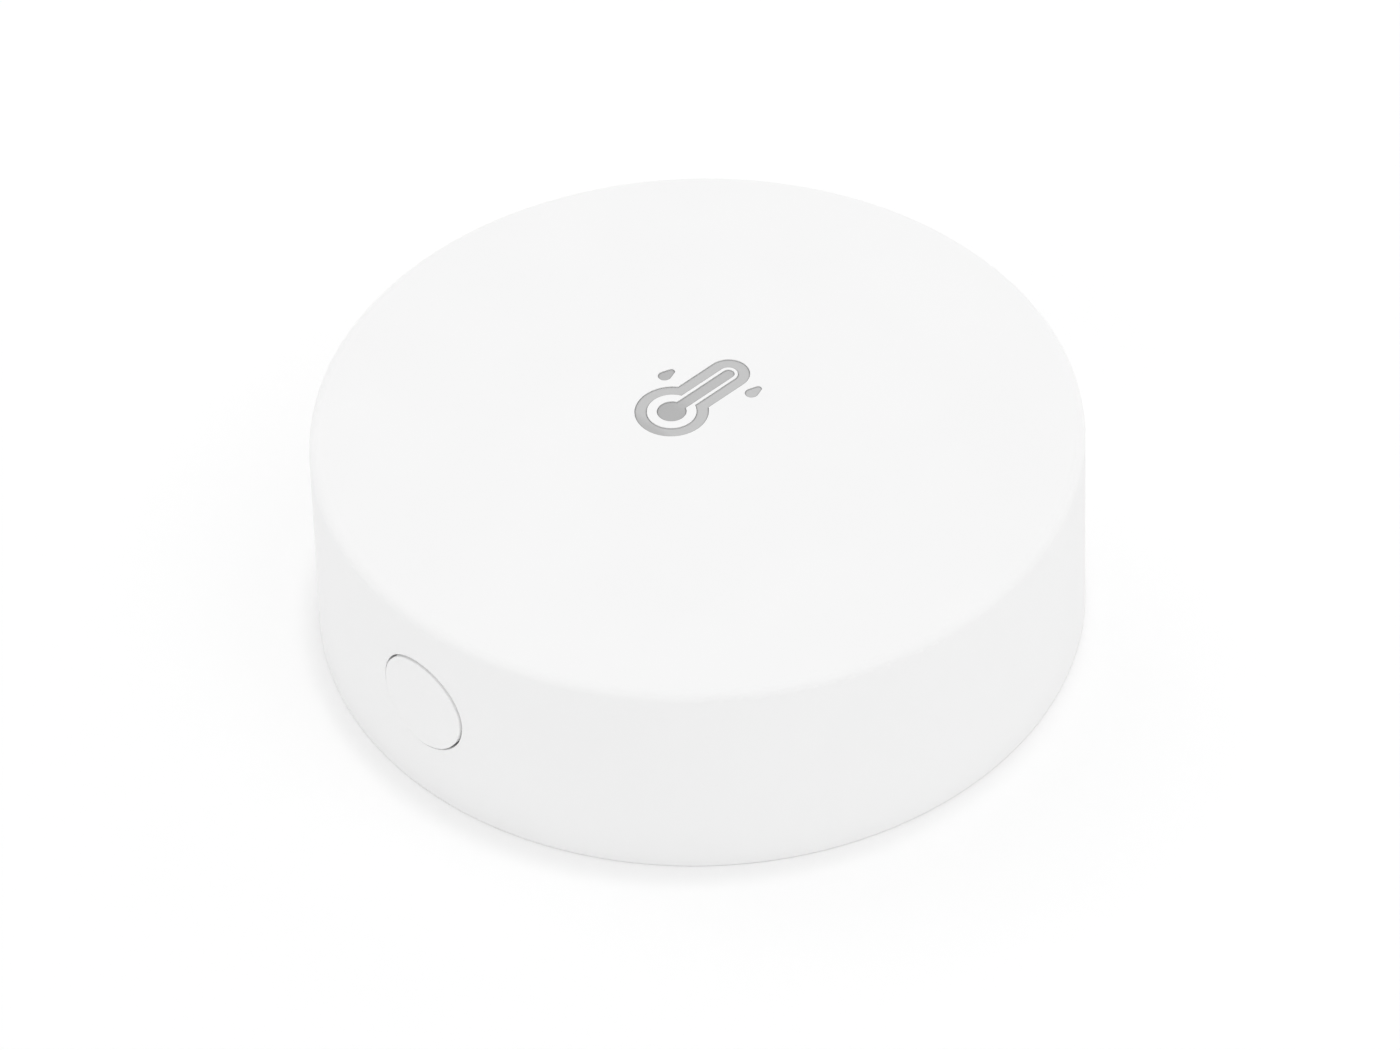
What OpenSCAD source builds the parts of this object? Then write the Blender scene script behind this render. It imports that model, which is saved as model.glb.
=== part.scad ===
// Round wireless temperature and humidity sensor, run by a coin cell, lying on its adhesive ring.
// The origin is the centre of the underside, on the table, with +Z up.
// The side button faces -Y, and the pictogram on the roof stands upright towards +Y.
// The radii stack up from the cell outwards and the heights stack up from the table,
// so the outside diameter (36) and height (10.6) follow from the sizes below.

/* [Shell] */
// Thickness of the side wall
wall_t = 1.2; // [0.9:0.05:1.6]
// Thickness of the roof
roof_t = 1.2; // [0.9:0.05:1.6]
// Free height between the circuit board and the roof
head_room = 3.65; // [3.3:0.05:6]
// Free width between the battery well and the side wall
side_room = 3.4; // [3:0.1:6]
// Lean of the side wall, in degrees
draft = 0.8; // [0:0.1:2]
// Radius of the rounded edge between the wall and the roof
edge_r = 0.5; // [0.2:0.05:1]
// Height of the wall's rim above the table
foot_gap = 0.05; // [0.05:0.05:0.4]
// Radius of the rounded edge at the wall's rim
rim_edge_r = 0.05; // [0.03:0.01:0.2]
// Number of snap hooks, each with its catch on the wall
hook_count = 4; // [3:1:6]
// Thickness of each catch along the wall
catch_t = 0.6; // [0.4:0.05:0.9]
// How far each catch stands out of the wall
catch_depth = 0.6; // [0.4:0.05:0.8]
// Height of the catches above the floor
catch_lift = 1; // [0.8:0.05:1.4]
// Radius of the posts that hold the circuit board down
post_r = 0.8; // [0.5:0.05:1.1]
// Width of the key that sets the shell's turn on the chassis
key_w = 1.6; // [1:0.1:2.4]
// How far the key stands out of the wall
key_depth = 0.6; // [0.4:0.05:0.8]

/* [Vents] */
// Number of air slots in the side wall behind the climate sensor
vent_count = 5; // [3:1:6]
// Width of each slot
vent_w = 0.7; // [0.4:0.05:1]
// Height of each slot
vent_h = 3.2; // [2:0.1:3.6]
// Distance between the middles of neighbouring slots
vent_pitch = 1.6; // [1.3:0.1:2]
// Thickness of the dust membrane behind the slots
membrane_t = 0.2; // [0.1:0.05:0.3]
// How far the membrane reaches past the slots
membrane_edge = 0.7; // [0.4:0.1:1]

/* [Chassis] */
// Thickness of the floor
floor_t = 1.2; // [1:0.05:1.6]
// Thickness of the battery well's wall
well_t = 1.2; // [0.9:0.05:1.6]
// Number of ribs that centre the cell
rib_count = 12; // [12:4:16]
// Thickness of each rib
rib_t = 0.8; // [0.5:0.05:1]
// Width of each snap hook
hook_w = 4; // [3:0.1:6]
// Thickness of each snap hook
hook_t = 0.8; // [0.6:0.05:1]
// How far each hook reaches over its catch
hook_grip = 0.4; // [0.25:0.05:0.5]
// Height of each hook's head
hook_head = 0.7; // [0.5:0.05:0.9]
// Radius of the pins that place the circuit board
pin_r = 0.6; // [0.4:0.05:0.9]
// How far the pins stand above the circuit board
pin_rise = 0.4; // [0.2:0.05:0.6]
// Depth of the marks beside the cover
mark_depth = 0.15; // [0.1:0.05:0.25]
// Radius of the marks beside the cover
mark_r = 0.25; // [0.15:0.05:0.3]

/* [Battery cover] */
// Thickness of the cover under the cell
cover_t = 1; // [0.8:0.05:1.4]
// Thickness of the cover's outer flange
flange_t = 0.55; // [0.4:0.05:0.7]
// How far the flange reaches past the lugs
flange_lip = 0.3; // [0.2:0.05:0.5]
// Thickness of the collar round the cell
collar_t = 0.6; // [0.5:0.05:0.9]
// Number of bayonet lugs
lug_count = 3; // [3:1:4]
// How far each lug reaches over the ledge
lug_grip = 1.2; // [0.8:0.1:1.6]
// Thickness of each lug
lug_t = 0.6; // [0.4:0.05:0.8]
// Width of each lug, in degrees
lug_angle = 24; // [16:1:28]
// Turn that frees the cover, in degrees
turn_angle = 30; // [30:1:40]
// Length of the slot for a coin
coin_slot_l = 14; // [10:0.5:18]
// Width of the slot for a coin
coin_slot_w = 1.8; // [1.5:0.1:2.4]
// Depth of the slot for a coin
coin_slot_depth = 0.5; // [0.3:0.05:0.6]
// Side of the pointer on the cover
pointer_w = 1.4; // [0.8:0.1:2]

/* [Adhesive ring] */
// Thickness of the adhesive ring
ring_t = 0.5; // [0.4:0.05:0.8]
// Width of the land between the cover's seat and the ring's recess
ring_land = 0.8; // [0.6:0.05:1.2]
// Width of the margin outside the ring's recess
ring_margin = 0.8; // [0.6:0.05:1.2]

/* [Coin cell] */
// Diameter of the cell
cell_d = 20; // [16:0.5:24]
// Height of the cell
cell_h = 3.2; // [2.5:0.1:5]
// How far the cap stands above the can
cap_rise = 0.25; // [0.15:0.05:0.4]
// Thickness of the can's bottom
can_t = 0.25; // [0.15:0.05:0.35]
// Radius of the can's rounded edges
can_edge_r = 0.35; // [0.2:0.05:0.5]
// Width of the can's crimped rim
crimp_w = 1; // [0.7:0.05:1.4]
// Width of the gasket between the can and the cap
gasket_w = 0.25; // [0.15:0.05:0.4]

/* [Cell contacts] */
// Thickness of the contact sheet
contact_t = 0.15; // [0.1:0.01:0.2]
// Width of each contact
contact_w = 3; // [2:0.1:4]
// Free height between the cell and the circuit board
spring_room = 0.65; // [0.5:0.05:1]
// Reach of the negative contact's fingers from the middle
finger_reach = 5.5; // [4:0.1:7]
// Half length of the negative contact's foot
foot_reach = 2; // [1.2:0.1:3]
// Height of the positive contacts' lowest bend above the lugs
clip_lift = 0.6; // [0.4:0.05:0.9]
// Length of the positive contacts' soldered foot
clip_foot = 1.1; // [0.7:0.05:1.4]

/* [Circuit board] */
// Thickness of the board
board_t = 0.8; // [0.6:0.05:1.2]
// Gap between the board's edge and the side wall
board_gap = 0.7; // [0.4:0.05:1]
// Width of the tongue that carries the climate sensor
tongue_w = 4.4; // [3.6:0.1:5.4]
// Width of the slots beside the tongue
tongue_slot_w = 0.8; // [0.5:0.05:1]
// Thickness of the copper
copper_t = 0.05; // [0.03:0.01:0.1]
// Width of the antenna's trace
trace_w = 0.4; // [0.3:0.05:0.6]
// Number of the antenna's bars
antenna_bars = 13; // [7:2:15]
// Turn from one antenna bar to the next, in degrees
antenna_step = 4.5; // [4:0.1:5]
// Margin between the antenna and the board's edge
antenna_margin = 0.5; // [0.3:0.05:0.8]
// Radius of each test pad
pad_r = 0.5; // [0.3:0.05:0.7]
// Number of test pads
pad_count = 6; // [3:1:8]
// Distance between the middles of neighbouring test pads
pad_pitch = 1.8; // [1.5:0.1:2]

/* [Electronics] */
// Side of the radio chip
radio_w = 6; // [5:0.1:7.2]
// Height of the radio chip
radio_h = 0.85; // [0.6:0.05:1.1]
// Length of the memory chip
memory_l = 5; // [4:0.1:6]
// Width of the memory chip
memory_w = 4; // [3:0.1:5]
// Height of the memory chip
memory_h = 0.75; // [0.5:0.05:1]
// Length of each crystal
crystal_l = 3.2; // [2.5:0.1:4]
// Widths of the radio crystal
radio_crystal_w = 2.5; // [2:0.1:3]
// Width of the clock crystal
clock_crystal_w = 1.5; // [1.2:0.1:2]
// Height of both crystals
crystal_h = 0.75; // [0.5:0.05:1]
// Side of the climate sensor
climate_w = 2.5; // [2:0.1:3]
// Height of the climate sensor
climate_h = 0.9; // [0.7:0.05:1.2]
// Radius of the climate sensor's air hole
climate_hole_r = 0.4; // [0.3:0.05:0.6]
// Depth of the climate sensor's air hole
climate_hole_depth = 0.3; // [0.2:0.05:0.4]
// Length of each small chip part
chip_l = 1; // [0.8:0.05:1.2]
// Width of each small chip part
chip_w = 0.5; // [0.4:0.05:0.6]
// Height of each small capacitor
capacitor_h = 0.5; // [0.4:0.05:0.6]
// Height of each resistor
resistor_h = 0.35; // [0.3:0.05:0.5]
// Length of each inductor
inductor_l = 2; // [1.6:0.1:2.4]
// Width and height of each inductor
inductor_w = 1.2; // [0.9:0.05:1.5]
// Length of each bulk capacitor
bulk_l = 3.2; // [2.6:0.1:3.8]
// Width and height of each bulk capacitor
bulk_w = 1.6; // [1.2:0.05:2]
// Length of the status light
led_l = 1.6; // [1.2:0.05:2]
// Width of the status light
led_w = 0.8; // [0.6:0.05:1]
// Height of the status light's base
led_base_h = 0.3; // [0.2:0.05:0.4]
// Height of the status light's lens
led_lens_h = 0.35; // [0.25:0.05:0.5]
// Inside radius of the light well over the status light
well_light_r = 1.5; // [1.2:0.05:1.9]
// Thickness of the light well's wall
well_light_t = 0.7; // [0.5:0.05:0.9]
// Thickness of the roof left over the light well
light_skin = 0.5; // [0.4:0.05:0.8]

/* [Tact switch] */
// Width of the switch
switch_w = 4.4; // [3.8:0.1:5.2]
// Depth of the switch
switch_d = 2; // [1.7:0.05:2.6]
// Height of the switch
switch_h = 1.4; // [1.2:0.05:1.8]
// Thickness of the switch's bracket
bracket_t = 0.15; // [0.1:0.01:0.2]
// Thickness of the plastic round the switch's chamber
chamber_t = 0.25; // [0.18:0.01:0.3]
// Width of the plunger's head
head_w = 2.2; // [1.8:0.1:2.7]
// Depth of the plunger's head
head_d = 0.45; // [0.35:0.05:0.6]
// Width of the plunger's nose
nose_w = 1.5; // [1.2:0.05:1.75]
// How far the nose stands out of the switch
nose_l = 0.6; // [0.5:0.05:0.9]
// How far the dome bulges
dome_rise = 0.32; // [0.26:0.01:0.4]
// Thickness of the dome's sheet
dome_t = 0.07; // [0.05:0.01:0.1]
// Length of each terminal
terminal_l = 0.45; // [0.3:0.05:0.6]
// Width of each terminal
terminal_w = 0.6; // [0.4:0.05:0.8]

/* [Side button] */
// Radius of the button's cap
button_r = 2.4; // [2:0.01:2.9]
// Gap round the cap
button_gap = 0.1; // [0.05:0.01:0.15]
// How far the cap's face stands out of the wall
button_rise = 0.06; // [0:0.01:0.1]
// How far the button's middle lies below the switch's middle
button_drop = 0.97; // [0.5:0.01:1.2]
// How far the button's flange reaches past its cap
flange_reach = 0.75; // [0.5:0.05:0.9]
// Thickness of the button's flange
button_flange_t = 0.7; // [0.5:0.05:0.9]
// Radius of the stem that presses the switch
stem_r = 0.9; // [0.6:0.05:1.2]
// Length of the stem
stem_l = 0.6; // [0.5:0.05:0.9]
// Travel of the button
button_travel = 0.25; // [0.15:0.01:0.3]
// Thickness of the guide round the flange
guide_t = 0.8; // [0.6:0.05:1]

/* [Pictogram] */
// Distance of the thermometer's middle line left of the centre
icon_left = 1.5; // [0:0.01:3]
// Distance of the bulb's centre below the centre
icon_below = 0.13; // [0:0.01:1]
// Turn of the pictogram against the button's direction, in degrees
icon_turn = -1.4; // [-3:0.1:3]
// Distance from the bulb's centre to the stem's round end
icon_stem = 3.63; // [2.5:0.01:5]
// Radius of the clear space in the bulb
icon_bulb_r = 1.17; // [0.9:0.01:1.6]
// Half width of the clear space in the stem
icon_channel = 0.47; // [0.4:0.01:0.7]
// Width of the outline
icon_line = 0.53; // [0.3:0.01:0.7]
// Radius of the fluid in the bulb
icon_fluid_r = 0.67; // [0.5:0.01:0.9]
// Half width of the fluid in the stem
icon_column = 0.28; // [0.15:0.01:0.35]
// Radius of each drop
drop_r = 0.3; // [0.2:0.01:0.5]
// Distance from a drop's centre to its tip's centre
drop_l = 0.42; // [0.35:0.01:0.7]
// Radius of a drop's blunt tip
drop_tip_r = 0.16; // [0.05:0.01:0.25]
// Depth of the pictogram's recess
icon_depth = 0.15; // [0.1:0.01:0.25]
// Depth of the pictogram's face below the roof
icon_sink = 0.04; // [0.02:0.01:0.08]

/* [Hidden] */
$fn = 96;

// How far cuts run past the faces that they open
overrun = 1;
// How far joined shapes reach into each other
fuse = 0.2;
// Height play of the cover, the cell and the hooks
play = 0.05;
// Gap round pieces that slide or turn
slide_gap = 0.1;
// Gap between the cell and what centres it
cell_gap = 0.2;
// Gap round pieces that are only laid in
laid_gap = 0.02;
// Gap round the board where the button's guide passes it
guide_gap = 0.25;

// Radii, from the cell outwards
cell_r = cell_d / 2;
collar_in_r = cell_r + cell_gap;
collar_out_r = collar_in_r + collar_t;
ledge_r = collar_out_r + slide_gap;
lug_r = ledge_r + lug_grip;
well_in_r = lug_r + slide_gap;
well_out_r = well_in_r + well_t;
well_mid_r = (well_in_r + well_out_r) / 2;
body_r = well_out_r + side_room + wall_t;
cover_r = lug_r + flange_lip;
cover_seat_r = cover_r + slide_gap;
floor_r = body_r - wall_t - slide_gap;

// Heights, from the table upwards
rim_z = foot_gap;
seat_z = rim_z + flange_t + play;
floor_z = rim_z + floor_t;
cell_z = rim_z + cover_t + play;
lug_z = floor_z + play;
lug_top_z = lug_z + lug_t;
cell_top_z = cell_z + cell_h;
board_z = cell_top_z + spring_room;
board_top_z = board_z + board_t;
roof_z = board_top_z + head_room;
body_h = roof_z + roof_t;
catch_z = floor_z + catch_lift;
catch_top_z = catch_z + catch_t;
switch_z = board_top_z + switch_h / 2;
button_z = switch_z - button_drop;

// Places that follow from both
board_r = wall_r(board_top_z, wall_t + board_gap);
catch_r = wall_r(catch_z, wall_t + catch_depth);
flange_in_r = wall_r(button_z, wall_t + slide_gap + button_flange_t);
button_flange_r = button_r + flange_reach;
guide_in_r = button_flange_r + slide_gap;
guide_out_r = guide_in_r + guide_t;
stem_tip = flange_in_r - stem_l;
nose_tip = stem_tip - play;
switch_front = nose_tip - nose_l;
guide_end = nose_tip;
board_notch_end = guide_end - button_travel - guide_gap;
key_in_r = wall_r(catch_z, wall_t + key_depth);
climate_y = (well_out_r + board_r) / 2;

// Angles of what stands round the centre
hook_start = 45;
lug_start = 90;
pin_angles = [0, 180];
key_angle = 180;
antenna_angle = 180;

// Places on the circuit board, as shares of its radius
radio_shares = [-0.22, 0.03];
memory_shares = [0.30, 0.20];
radio_crystal_shares = [-0.33, -0.33];
clock_crystal_shares = [-0.56, 0.03];
led_shares = [0.40, -0.30];
pad_row_shares = [-0.19, 0.58];
// Capacitors: place along X, place along Y, turned upright or not
capacitor_shares = [
    [-0.36, 0.32, 0], [-0.26, 0.32, 0], [-0.16, 0.32, 0], [-0.06, 0.32, 0],
    [0.06, 0.12, 1], [0.06, 0.01, 1], [0.06, -0.10, 1], [-0.54, -0.24, 1],
    [0.30, 0.42, 0], [0.56, 0.28, 1], [-0.10, -0.66, 0], [0.10, 0.70, 0]
];
resistor_shares = [
    [0.42, 0.42, 0], [0.56, 0.16, 1], [0.56, 0.04, 1], [0.20, -0.66, 0],
    [0.20, -0.58, 0], [-0.20, -0.66, 0], [0.22, 0.70, 0], [0.30, 0.02, 0]
];
inductor_shares = [[-0.10, -0.30, 1], [-0.52, -0.40, 0]];
bulk_shares = [[0.10, -0.32, 1], [0.04, -0.50, 0]];

// Outer radius of the leaning wall at height z, moved inwards by inset
function wall_r(z, inset = 0) = body_r - (z - rim_z) * tan(draft) - inset;

// Solid inside the leaning wall, moved inwards by inset
module inside_wall(inset, z_low = rim_z, z_high = body_h) {
    translate([0, 0, z_low])
        cylinder(r1 = wall_r(z_low, inset), r2 = wall_r(z_high, inset), h = z_high - z_low);
}

module tube(r_in, r_out, z_low, z_high) {
    translate([0, 0, z_low])
        difference() {
            cylinder(r = r_out, h = z_high - z_low);
            translate([0, 0, -overrun])
                cylinder(r = r_in, h = z_high - z_low + 2 * overrun);
        }
}

// Copies turned evenly round the centre
module around(count, start = 0) {
    for (i = [0 : count - 1])
        rotate(start + i * 360 / count)
            children();
}

// Part of a ring between two angles less than 100 degrees apart
module ring_sector(r_in, r_out, angle, z_low, z_high) {
    far = 2 * r_out;
    intersection() {
        tube(r_in, r_out, z_low, z_high);
        translate([0, 0, z_low - overrun])
            linear_extrude(z_high - z_low + 2 * overrun)
                polygon([
                    [0, 0],
                    [far * cos(angle / 2), -far * sin(angle / 2)],
                    [far * cos(angle / 2), far * sin(angle / 2)]
                ]);
    }
}

// Box standing at z with its middle at x, y
module block(size, x = 0, y = 0, z = 0) {
    translate([x - size[0] / 2, y - size[1] / 2, z])
        cube(size);
}

// Cylinder along Y, from y_low to y_high
module rod_y(r, x, z, y_low, y_high) {
    translate([x, y_high, z])
        rotate([90, 0, 0])
            cylinder(r = r, h = y_high - y_low);
}

// Outline drawn in X and Z, made w thick along Y
module upright(w) {
    rotate([90, 0, 0])
        linear_extrude(w, center = true)
            children();
}

// Side view of a sheet of thickness t bent through the points
module bent_sheet(points, t) {
    for (i = [0 : len(points) - 2]) {
        run = points[i + 1] - points[i];
        translate(points[i])
            rotate(atan2(run[1], run[0]))
                translate([0, -t / 2])
                    square([norm(run), t]);
    }
    for (p = points)
        translate(p)
            circle(d = t);
}

// Slot with round ends, standing along Y
module slot_outline(w, l) {
    square([w, l - w], center = true);
    for (side = [-1, 1])
        translate([0, side * (l - w) / 2])
            circle(d = w);
}

// Half section of the shell's outside, with its two rounded edges
module shell_outline() {
    low_z = rim_z + rim_edge_r;
    low_x = rounded_x(low_z, rim_edge_r);
    high_z = body_h - edge_r;
    high_x = rounded_x(high_z, edge_r);
    polygon([
        [0, rim_z],
        [low_x, rim_z],
        [low_x, low_z],
        [low_x + rim_edge_r * cos(draft), low_z + rim_edge_r * sin(draft)],
        [high_x + edge_r * cos(draft), high_z + edge_r * sin(draft)],
        [high_x, high_z],
        [high_x, body_h],
        [0, body_h]
    ]);
    translate([low_x, low_z])
        circle(r = rim_edge_r);
    translate([high_x, high_z])
        circle(r = edge_r);
}

// Where a rounded edge of radius r that touches the wall has its middle, at height z
function rounded_x(z, r) = wall_r(z) - r / cos(draft);

// Ledges that the hooks snap over, with a slope below
module catches() {
    root_r = wall_r(catch_z, wall_t / 2);
    around(hook_count, hook_start)
        intersection() {
            rotate_extrude()
                polygon([
                    [root_r, catch_z - catch_depth],
                    [catch_r, catch_z],
                    [catch_r, catch_top_z],
                    [root_r, catch_top_z]
                ]);
            block([2 * overrun + catch_depth + wall_t, hook_w + 2 * catch_t, body_h], catch_r);
        }
}

// Guide round the button's flange, open towards the floor where it would meet it
module button_guide() {
    intersection() {
        difference() {
            rod_y(guide_out_r, 0, button_z, -body_r, -guide_end);
            rod_y(guide_in_r, 0, button_z, -body_r - overrun, -guide_end + overrun);
        }
        inside_wall(wall_t / 2, floor_z + slide_gap, roof_z + roof_t / 2);
    }
}

module shell_key() {
    rotate(key_angle)
        intersection() {
            tube(key_in_r, body_r, rim_z + play, catch_top_z);
            block([body_r, key_w, body_h], body_r);
            inside_wall(wall_t / 2);
        }
}

module place_light_well() {
    translate([led_shares[0] * board_r, led_shares[1] * board_r, 0])
        children();
}

module shell_inside_shapes() {
    catches();
    button_guide();
    shell_key();
    around(hook_count, hook_start)
        translate([well_mid_r, 0, board_top_z])
            cylinder(r = post_r, h = head_room + fuse);
    place_light_well()
        translate([0, 0, light_well_z()])
            cylinder(r = well_light_r + well_light_t, h = roof_z + fuse - light_well_z());
}

function light_well_z() = board_top_z + led_base_h + led_lens_h + guide_gap;

module vent_slots() {
    for (i = [0 : vent_count - 1])
        translate([(i - (vent_count - 1) / 2) * vent_pitch, (board_r + body_r) / 2, vent_z()])
            rotate([90, 0, 0])
                linear_extrude(body_r - board_r + 2 * overrun, center = true)
                    slot_outline(vent_w, vent_h);
}

function vent_z() = board_top_z + climate_h;

// Recess for the pictogram, as wide as the pictogram and its laid gap
module pictogram_recess() {
    translate([0, 0, body_h - icon_depth])
        linear_extrude(icon_depth + overrun) {
            outline_shape(laid_gap);
            column_shape(laid_gap);
            drop_shapes(laid_gap);
        }
}

module top_shell() {
    color("white")
        difference() {
            union() {
                difference() {
                    rotate_extrude()
                        shell_outline();
                    inside_wall(wall_t, rim_z - overrun, roof_z);
                }
                shell_inside_shapes();
            }
            rod_y(button_r + button_gap, 0, button_z, -body_r - overrun, -guide_end);
            vent_slots();
            place_light_well()
                translate([0, 0, light_well_z() - overrun])
                    cylinder(r = well_light_r, h = body_h - light_skin - light_well_z() + overrun);
            pictogram_recess();
        }
}

// The thermometer's place: the bulb's centre on the roof
module place_icon() {
    translate([-icon_left, -icon_below])
        rotate(icon_turn)
            children();
}

// Round bulb with a straight round-ended stem
module thermometer(bulb, stem) {
    circle(r = bulb);
    translate([-stem, 0])
        square([2 * stem, icon_stem]);
    translate([0, icon_stem])
        circle(r = stem);
}

module outline_shape(grow = 0) {
    place_icon()
        difference() {
            thermometer(icon_bulb_r + icon_line + grow, icon_channel + icon_line + grow);
            thermometer(icon_bulb_r - grow, icon_channel - grow);
        }
}

module column_shape(grow = 0) {
    place_icon()
        thermometer(icon_fluid_r + grow, icon_column + grow);
}

// Drop with its blunt tip up: two circles and the lines that touch both
module drop(grow) {
    low = drop_r + grow;
    high = drop_tip_r + grow;
    slope = (low - high) / drop_l;
    side = sqrt(1 - slope * slope);
    polygon([
        [-low * side, low * slope],
        [low * side, low * slope],
        [high * side, drop_l + high * slope],
        [-high * side, drop_l + high * slope]
    ]);
    circle(r = low);
    translate([0, drop_l])
        circle(r = high);
}

// One drop left of the stem's lower half, one right of its round end
module drop_shapes(grow = 0) {
    side_x = icon_bulb_r + icon_line + drop_r;
    place_icon() {
        translate([-side_x, icon_bulb_r + drop_r])
            drop(grow);
        translate([side_x - icon_column, icon_stem - drop_tip_r])
            drop(grow);
    }
}

module on_roof() {
    translate([0, 0, body_h - icon_depth])
        linear_extrude(icon_depth - icon_sink)
            children();
}

module pictogram_outline() {
    color([0.62, 0.63, 0.64])
        on_roof()
            outline_shape();
}

module pictogram_column() {
    color([0.55, 0.56, 0.58])
        on_roof()
            column_shape();
}

module pictogram_drops() {
    color([0.58, 0.59, 0.61])
        on_roof()
            drop_shapes();
}

// Cap just proud of the shell, flange behind the wall and a stem to the switch
module side_button() {
    flange_inset = wall_t + slide_gap;
    color([0.96, 0.96, 0.96])
        union() {
            intersection() {
                rod_y(button_r, 0, button_z, -body_r - overrun, -flange_in_r - button_flange_t / 2);
                inside_wall(-button_rise);
            }
            intersection() {
                rod_y(button_flange_r, 0, button_z, -body_r, -guide_end);
                difference() {
                    inside_wall(flange_inset);
                    inside_wall(flange_inset + button_flange_t, rim_z - overrun, body_h + overrun);
                }
            }
            rod_y(stem_r, 0, switch_z, -flange_in_r - fuse, -stem_tip);
        }
}

module cell_ribs() {
    rib_z = lug_top_z + slide_gap;
    around(rib_count, 180 / rib_count)
        intersection() {
            tube(cell_r + cell_gap, well_in_r + fuse, rib_z, cell_top_z);
            block([body_r, rib_t, body_h], body_r / 2);
        }
}

// Blocks on the ledge that end the cover's turn both ways
module cover_stops() {
    stop_angle = 360 / lug_count - lug_angle - turn_angle - 4 * lug_slack();
    around(lug_count, lug_start + (lug_angle + stop_angle) / 2 + 2 * lug_slack())
        ring_sector(ledge_r + play, well_in_r + fuse, stop_angle, floor_z - fuse, lug_top_z);
}

// Angle that the sliding gap takes at the lugs' outside
function lug_slack() = slide_gap / lug_r * 180 / PI;

// Floor with the cover's seat below its ledge, a notch for each lug and the ring's recess
module floor_plate() {
    difference() {
        translate([0, 0, rim_z])
            cylinder(r = floor_r, h = floor_t);
        translate([0, 0, rim_z - overrun])
            cylinder(r = ledge_r, h = floor_t + 2 * overrun);
        translate([0, 0, rim_z - overrun])
            cylinder(r = cover_seat_r, h = seat_z - rim_z + overrun);
        around(lug_count, lug_start - turn_angle)
            ring_sector(ledge_r - fuse, lug_r + play, lug_angle + 2 * lug_slack(), seat_z - fuse,
                floor_z + overrun);
        tube(cover_seat_r + ring_land, floor_r - ring_margin, rim_z - overrun, ring_t);
        rotate(key_angle)
            block([2 * (body_r - key_in_r + slide_gap), key_w + 2 * slide_gap, body_h], body_r);
        cover_marks();
    }
}

// Snap hook with a sloped head
module hooks() {
    out_r = catch_r - slide_gap;
    in_r = out_r - hook_t;
    head_z = catch_top_z + play;
    around(hook_count, hook_start)
        intersection() {
            rotate_extrude()
                polygon([
                    [in_r, floor_z - fuse],
                    [out_r, floor_z - fuse],
                    [out_r, head_z],
                    [out_r + hook_grip, head_z],
                    [out_r + hook_grip, head_z + hook_head / 3],
                    [out_r - hook_t / 3, head_z + hook_head],
                    [in_r, head_z + hook_head]
                ]);
            block([2 * hook_t + 2 * hook_grip, hook_w, body_h], (in_r + out_r) / 2);
        }
}

// Three dots beside the cover: one where it is locked, a pair where it is free
module cover_marks() {
    mark_ring_r = cover_seat_r + ring_land / 2;
    pair_angle = 4 * mark_r / mark_ring_r * 180 / PI;
    for (angle = [0, -turn_angle - pair_angle / 2, -turn_angle + pair_angle / 2])
        rotate(lug_start + angle)
            translate([mark_ring_r, 0, rim_z - overrun])
                cylinder(r = mark_r, h = mark_depth + overrun);
}

module chassis() {
    color([0.93, 0.93, 0.92])
        union() {
            floor_plate();
            tube(well_in_r, well_out_r, floor_z - fuse, board_z);
            cell_ribs();
            cover_stops();
            hooks();
            for (angle = pin_angles)
                rotate(angle)
                    translate([well_mid_r, 0, board_z - fuse])
                        cylinder(r = pin_r, h = board_t + pin_rise + fuse);
        }
}

module pointer() {
    polygon([[0, pointer_w / 2], [-pointer_w, 0], [0, -pointer_w / 2]]);
}

module battery_cover() {
    color([0.93, 0.93, 0.92])
        difference() {
            union() {
                translate([0, 0, rim_z])
                    cylinder(r = cover_r, h = flange_t);
                translate([0, 0, rim_z])
                    cylinder(r = collar_out_r, h = lug_top_z - rim_z);
                around(lug_count, lug_start)
                    ring_sector(collar_out_r - fuse, lug_r, lug_angle, lug_z, lug_top_z);
            }
            translate([0, 0, rim_z + cover_t])
                cylinder(r = collar_in_r, h = lug_top_z);
            translate([0, 0, rim_z - overrun])
                linear_extrude(coin_slot_depth + overrun)
                    rotate(90)
                        slot_outline(coin_slot_w, coin_slot_l);
            rotate(lug_start)
                translate([cover_r - pointer_w / 2, 0, rim_z - overrun])
                    rotate(180)
                        linear_extrude(mark_depth + overrun)
                            translate([pointer_w, 0])
                                pointer();
        }
}

module adhesive_ring() {
    color([0.35, 0.36, 0.37])
        tube(cover_seat_r + ring_land + slide_gap, floor_r - ring_margin - slide_gap, 0, ring_t);
}

// Slots that keep the housing's warmth off the climate sensor
module tongue_slots() {
    slot_start = well_out_r + tongue_slot_w / 2 + slide_gap;
    for (side = [-1, 1])
        translate([side * (tongue_w + tongue_slot_w) / 2, slot_start, board_z - overrun]) {
            cylinder(d = tongue_slot_w, h = board_t + 2 * overrun);
            translate([-tongue_slot_w / 2, 0, 0])
                cube([tongue_slot_w, body_r - slot_start, board_t + 2 * overrun]);
        }
}

module circuit_board() {
    notch_w = 2 * (guide_out_r + guide_gap);
    color([0.1, 0.35, 0.2])
        difference() {
            translate([0, 0, board_z])
                cylinder(r = board_r, h = board_t);
            block([notch_w, 2 * (body_r - board_notch_end), body_h], 0, -body_r);
            for (angle = pin_angles)
                rotate(angle)
                    translate([well_mid_r, 0, board_z - overrun])
                        cylinder(r = pin_r + play, h = board_t + 2 * overrun);
            tongue_slots();
        }
}

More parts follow.
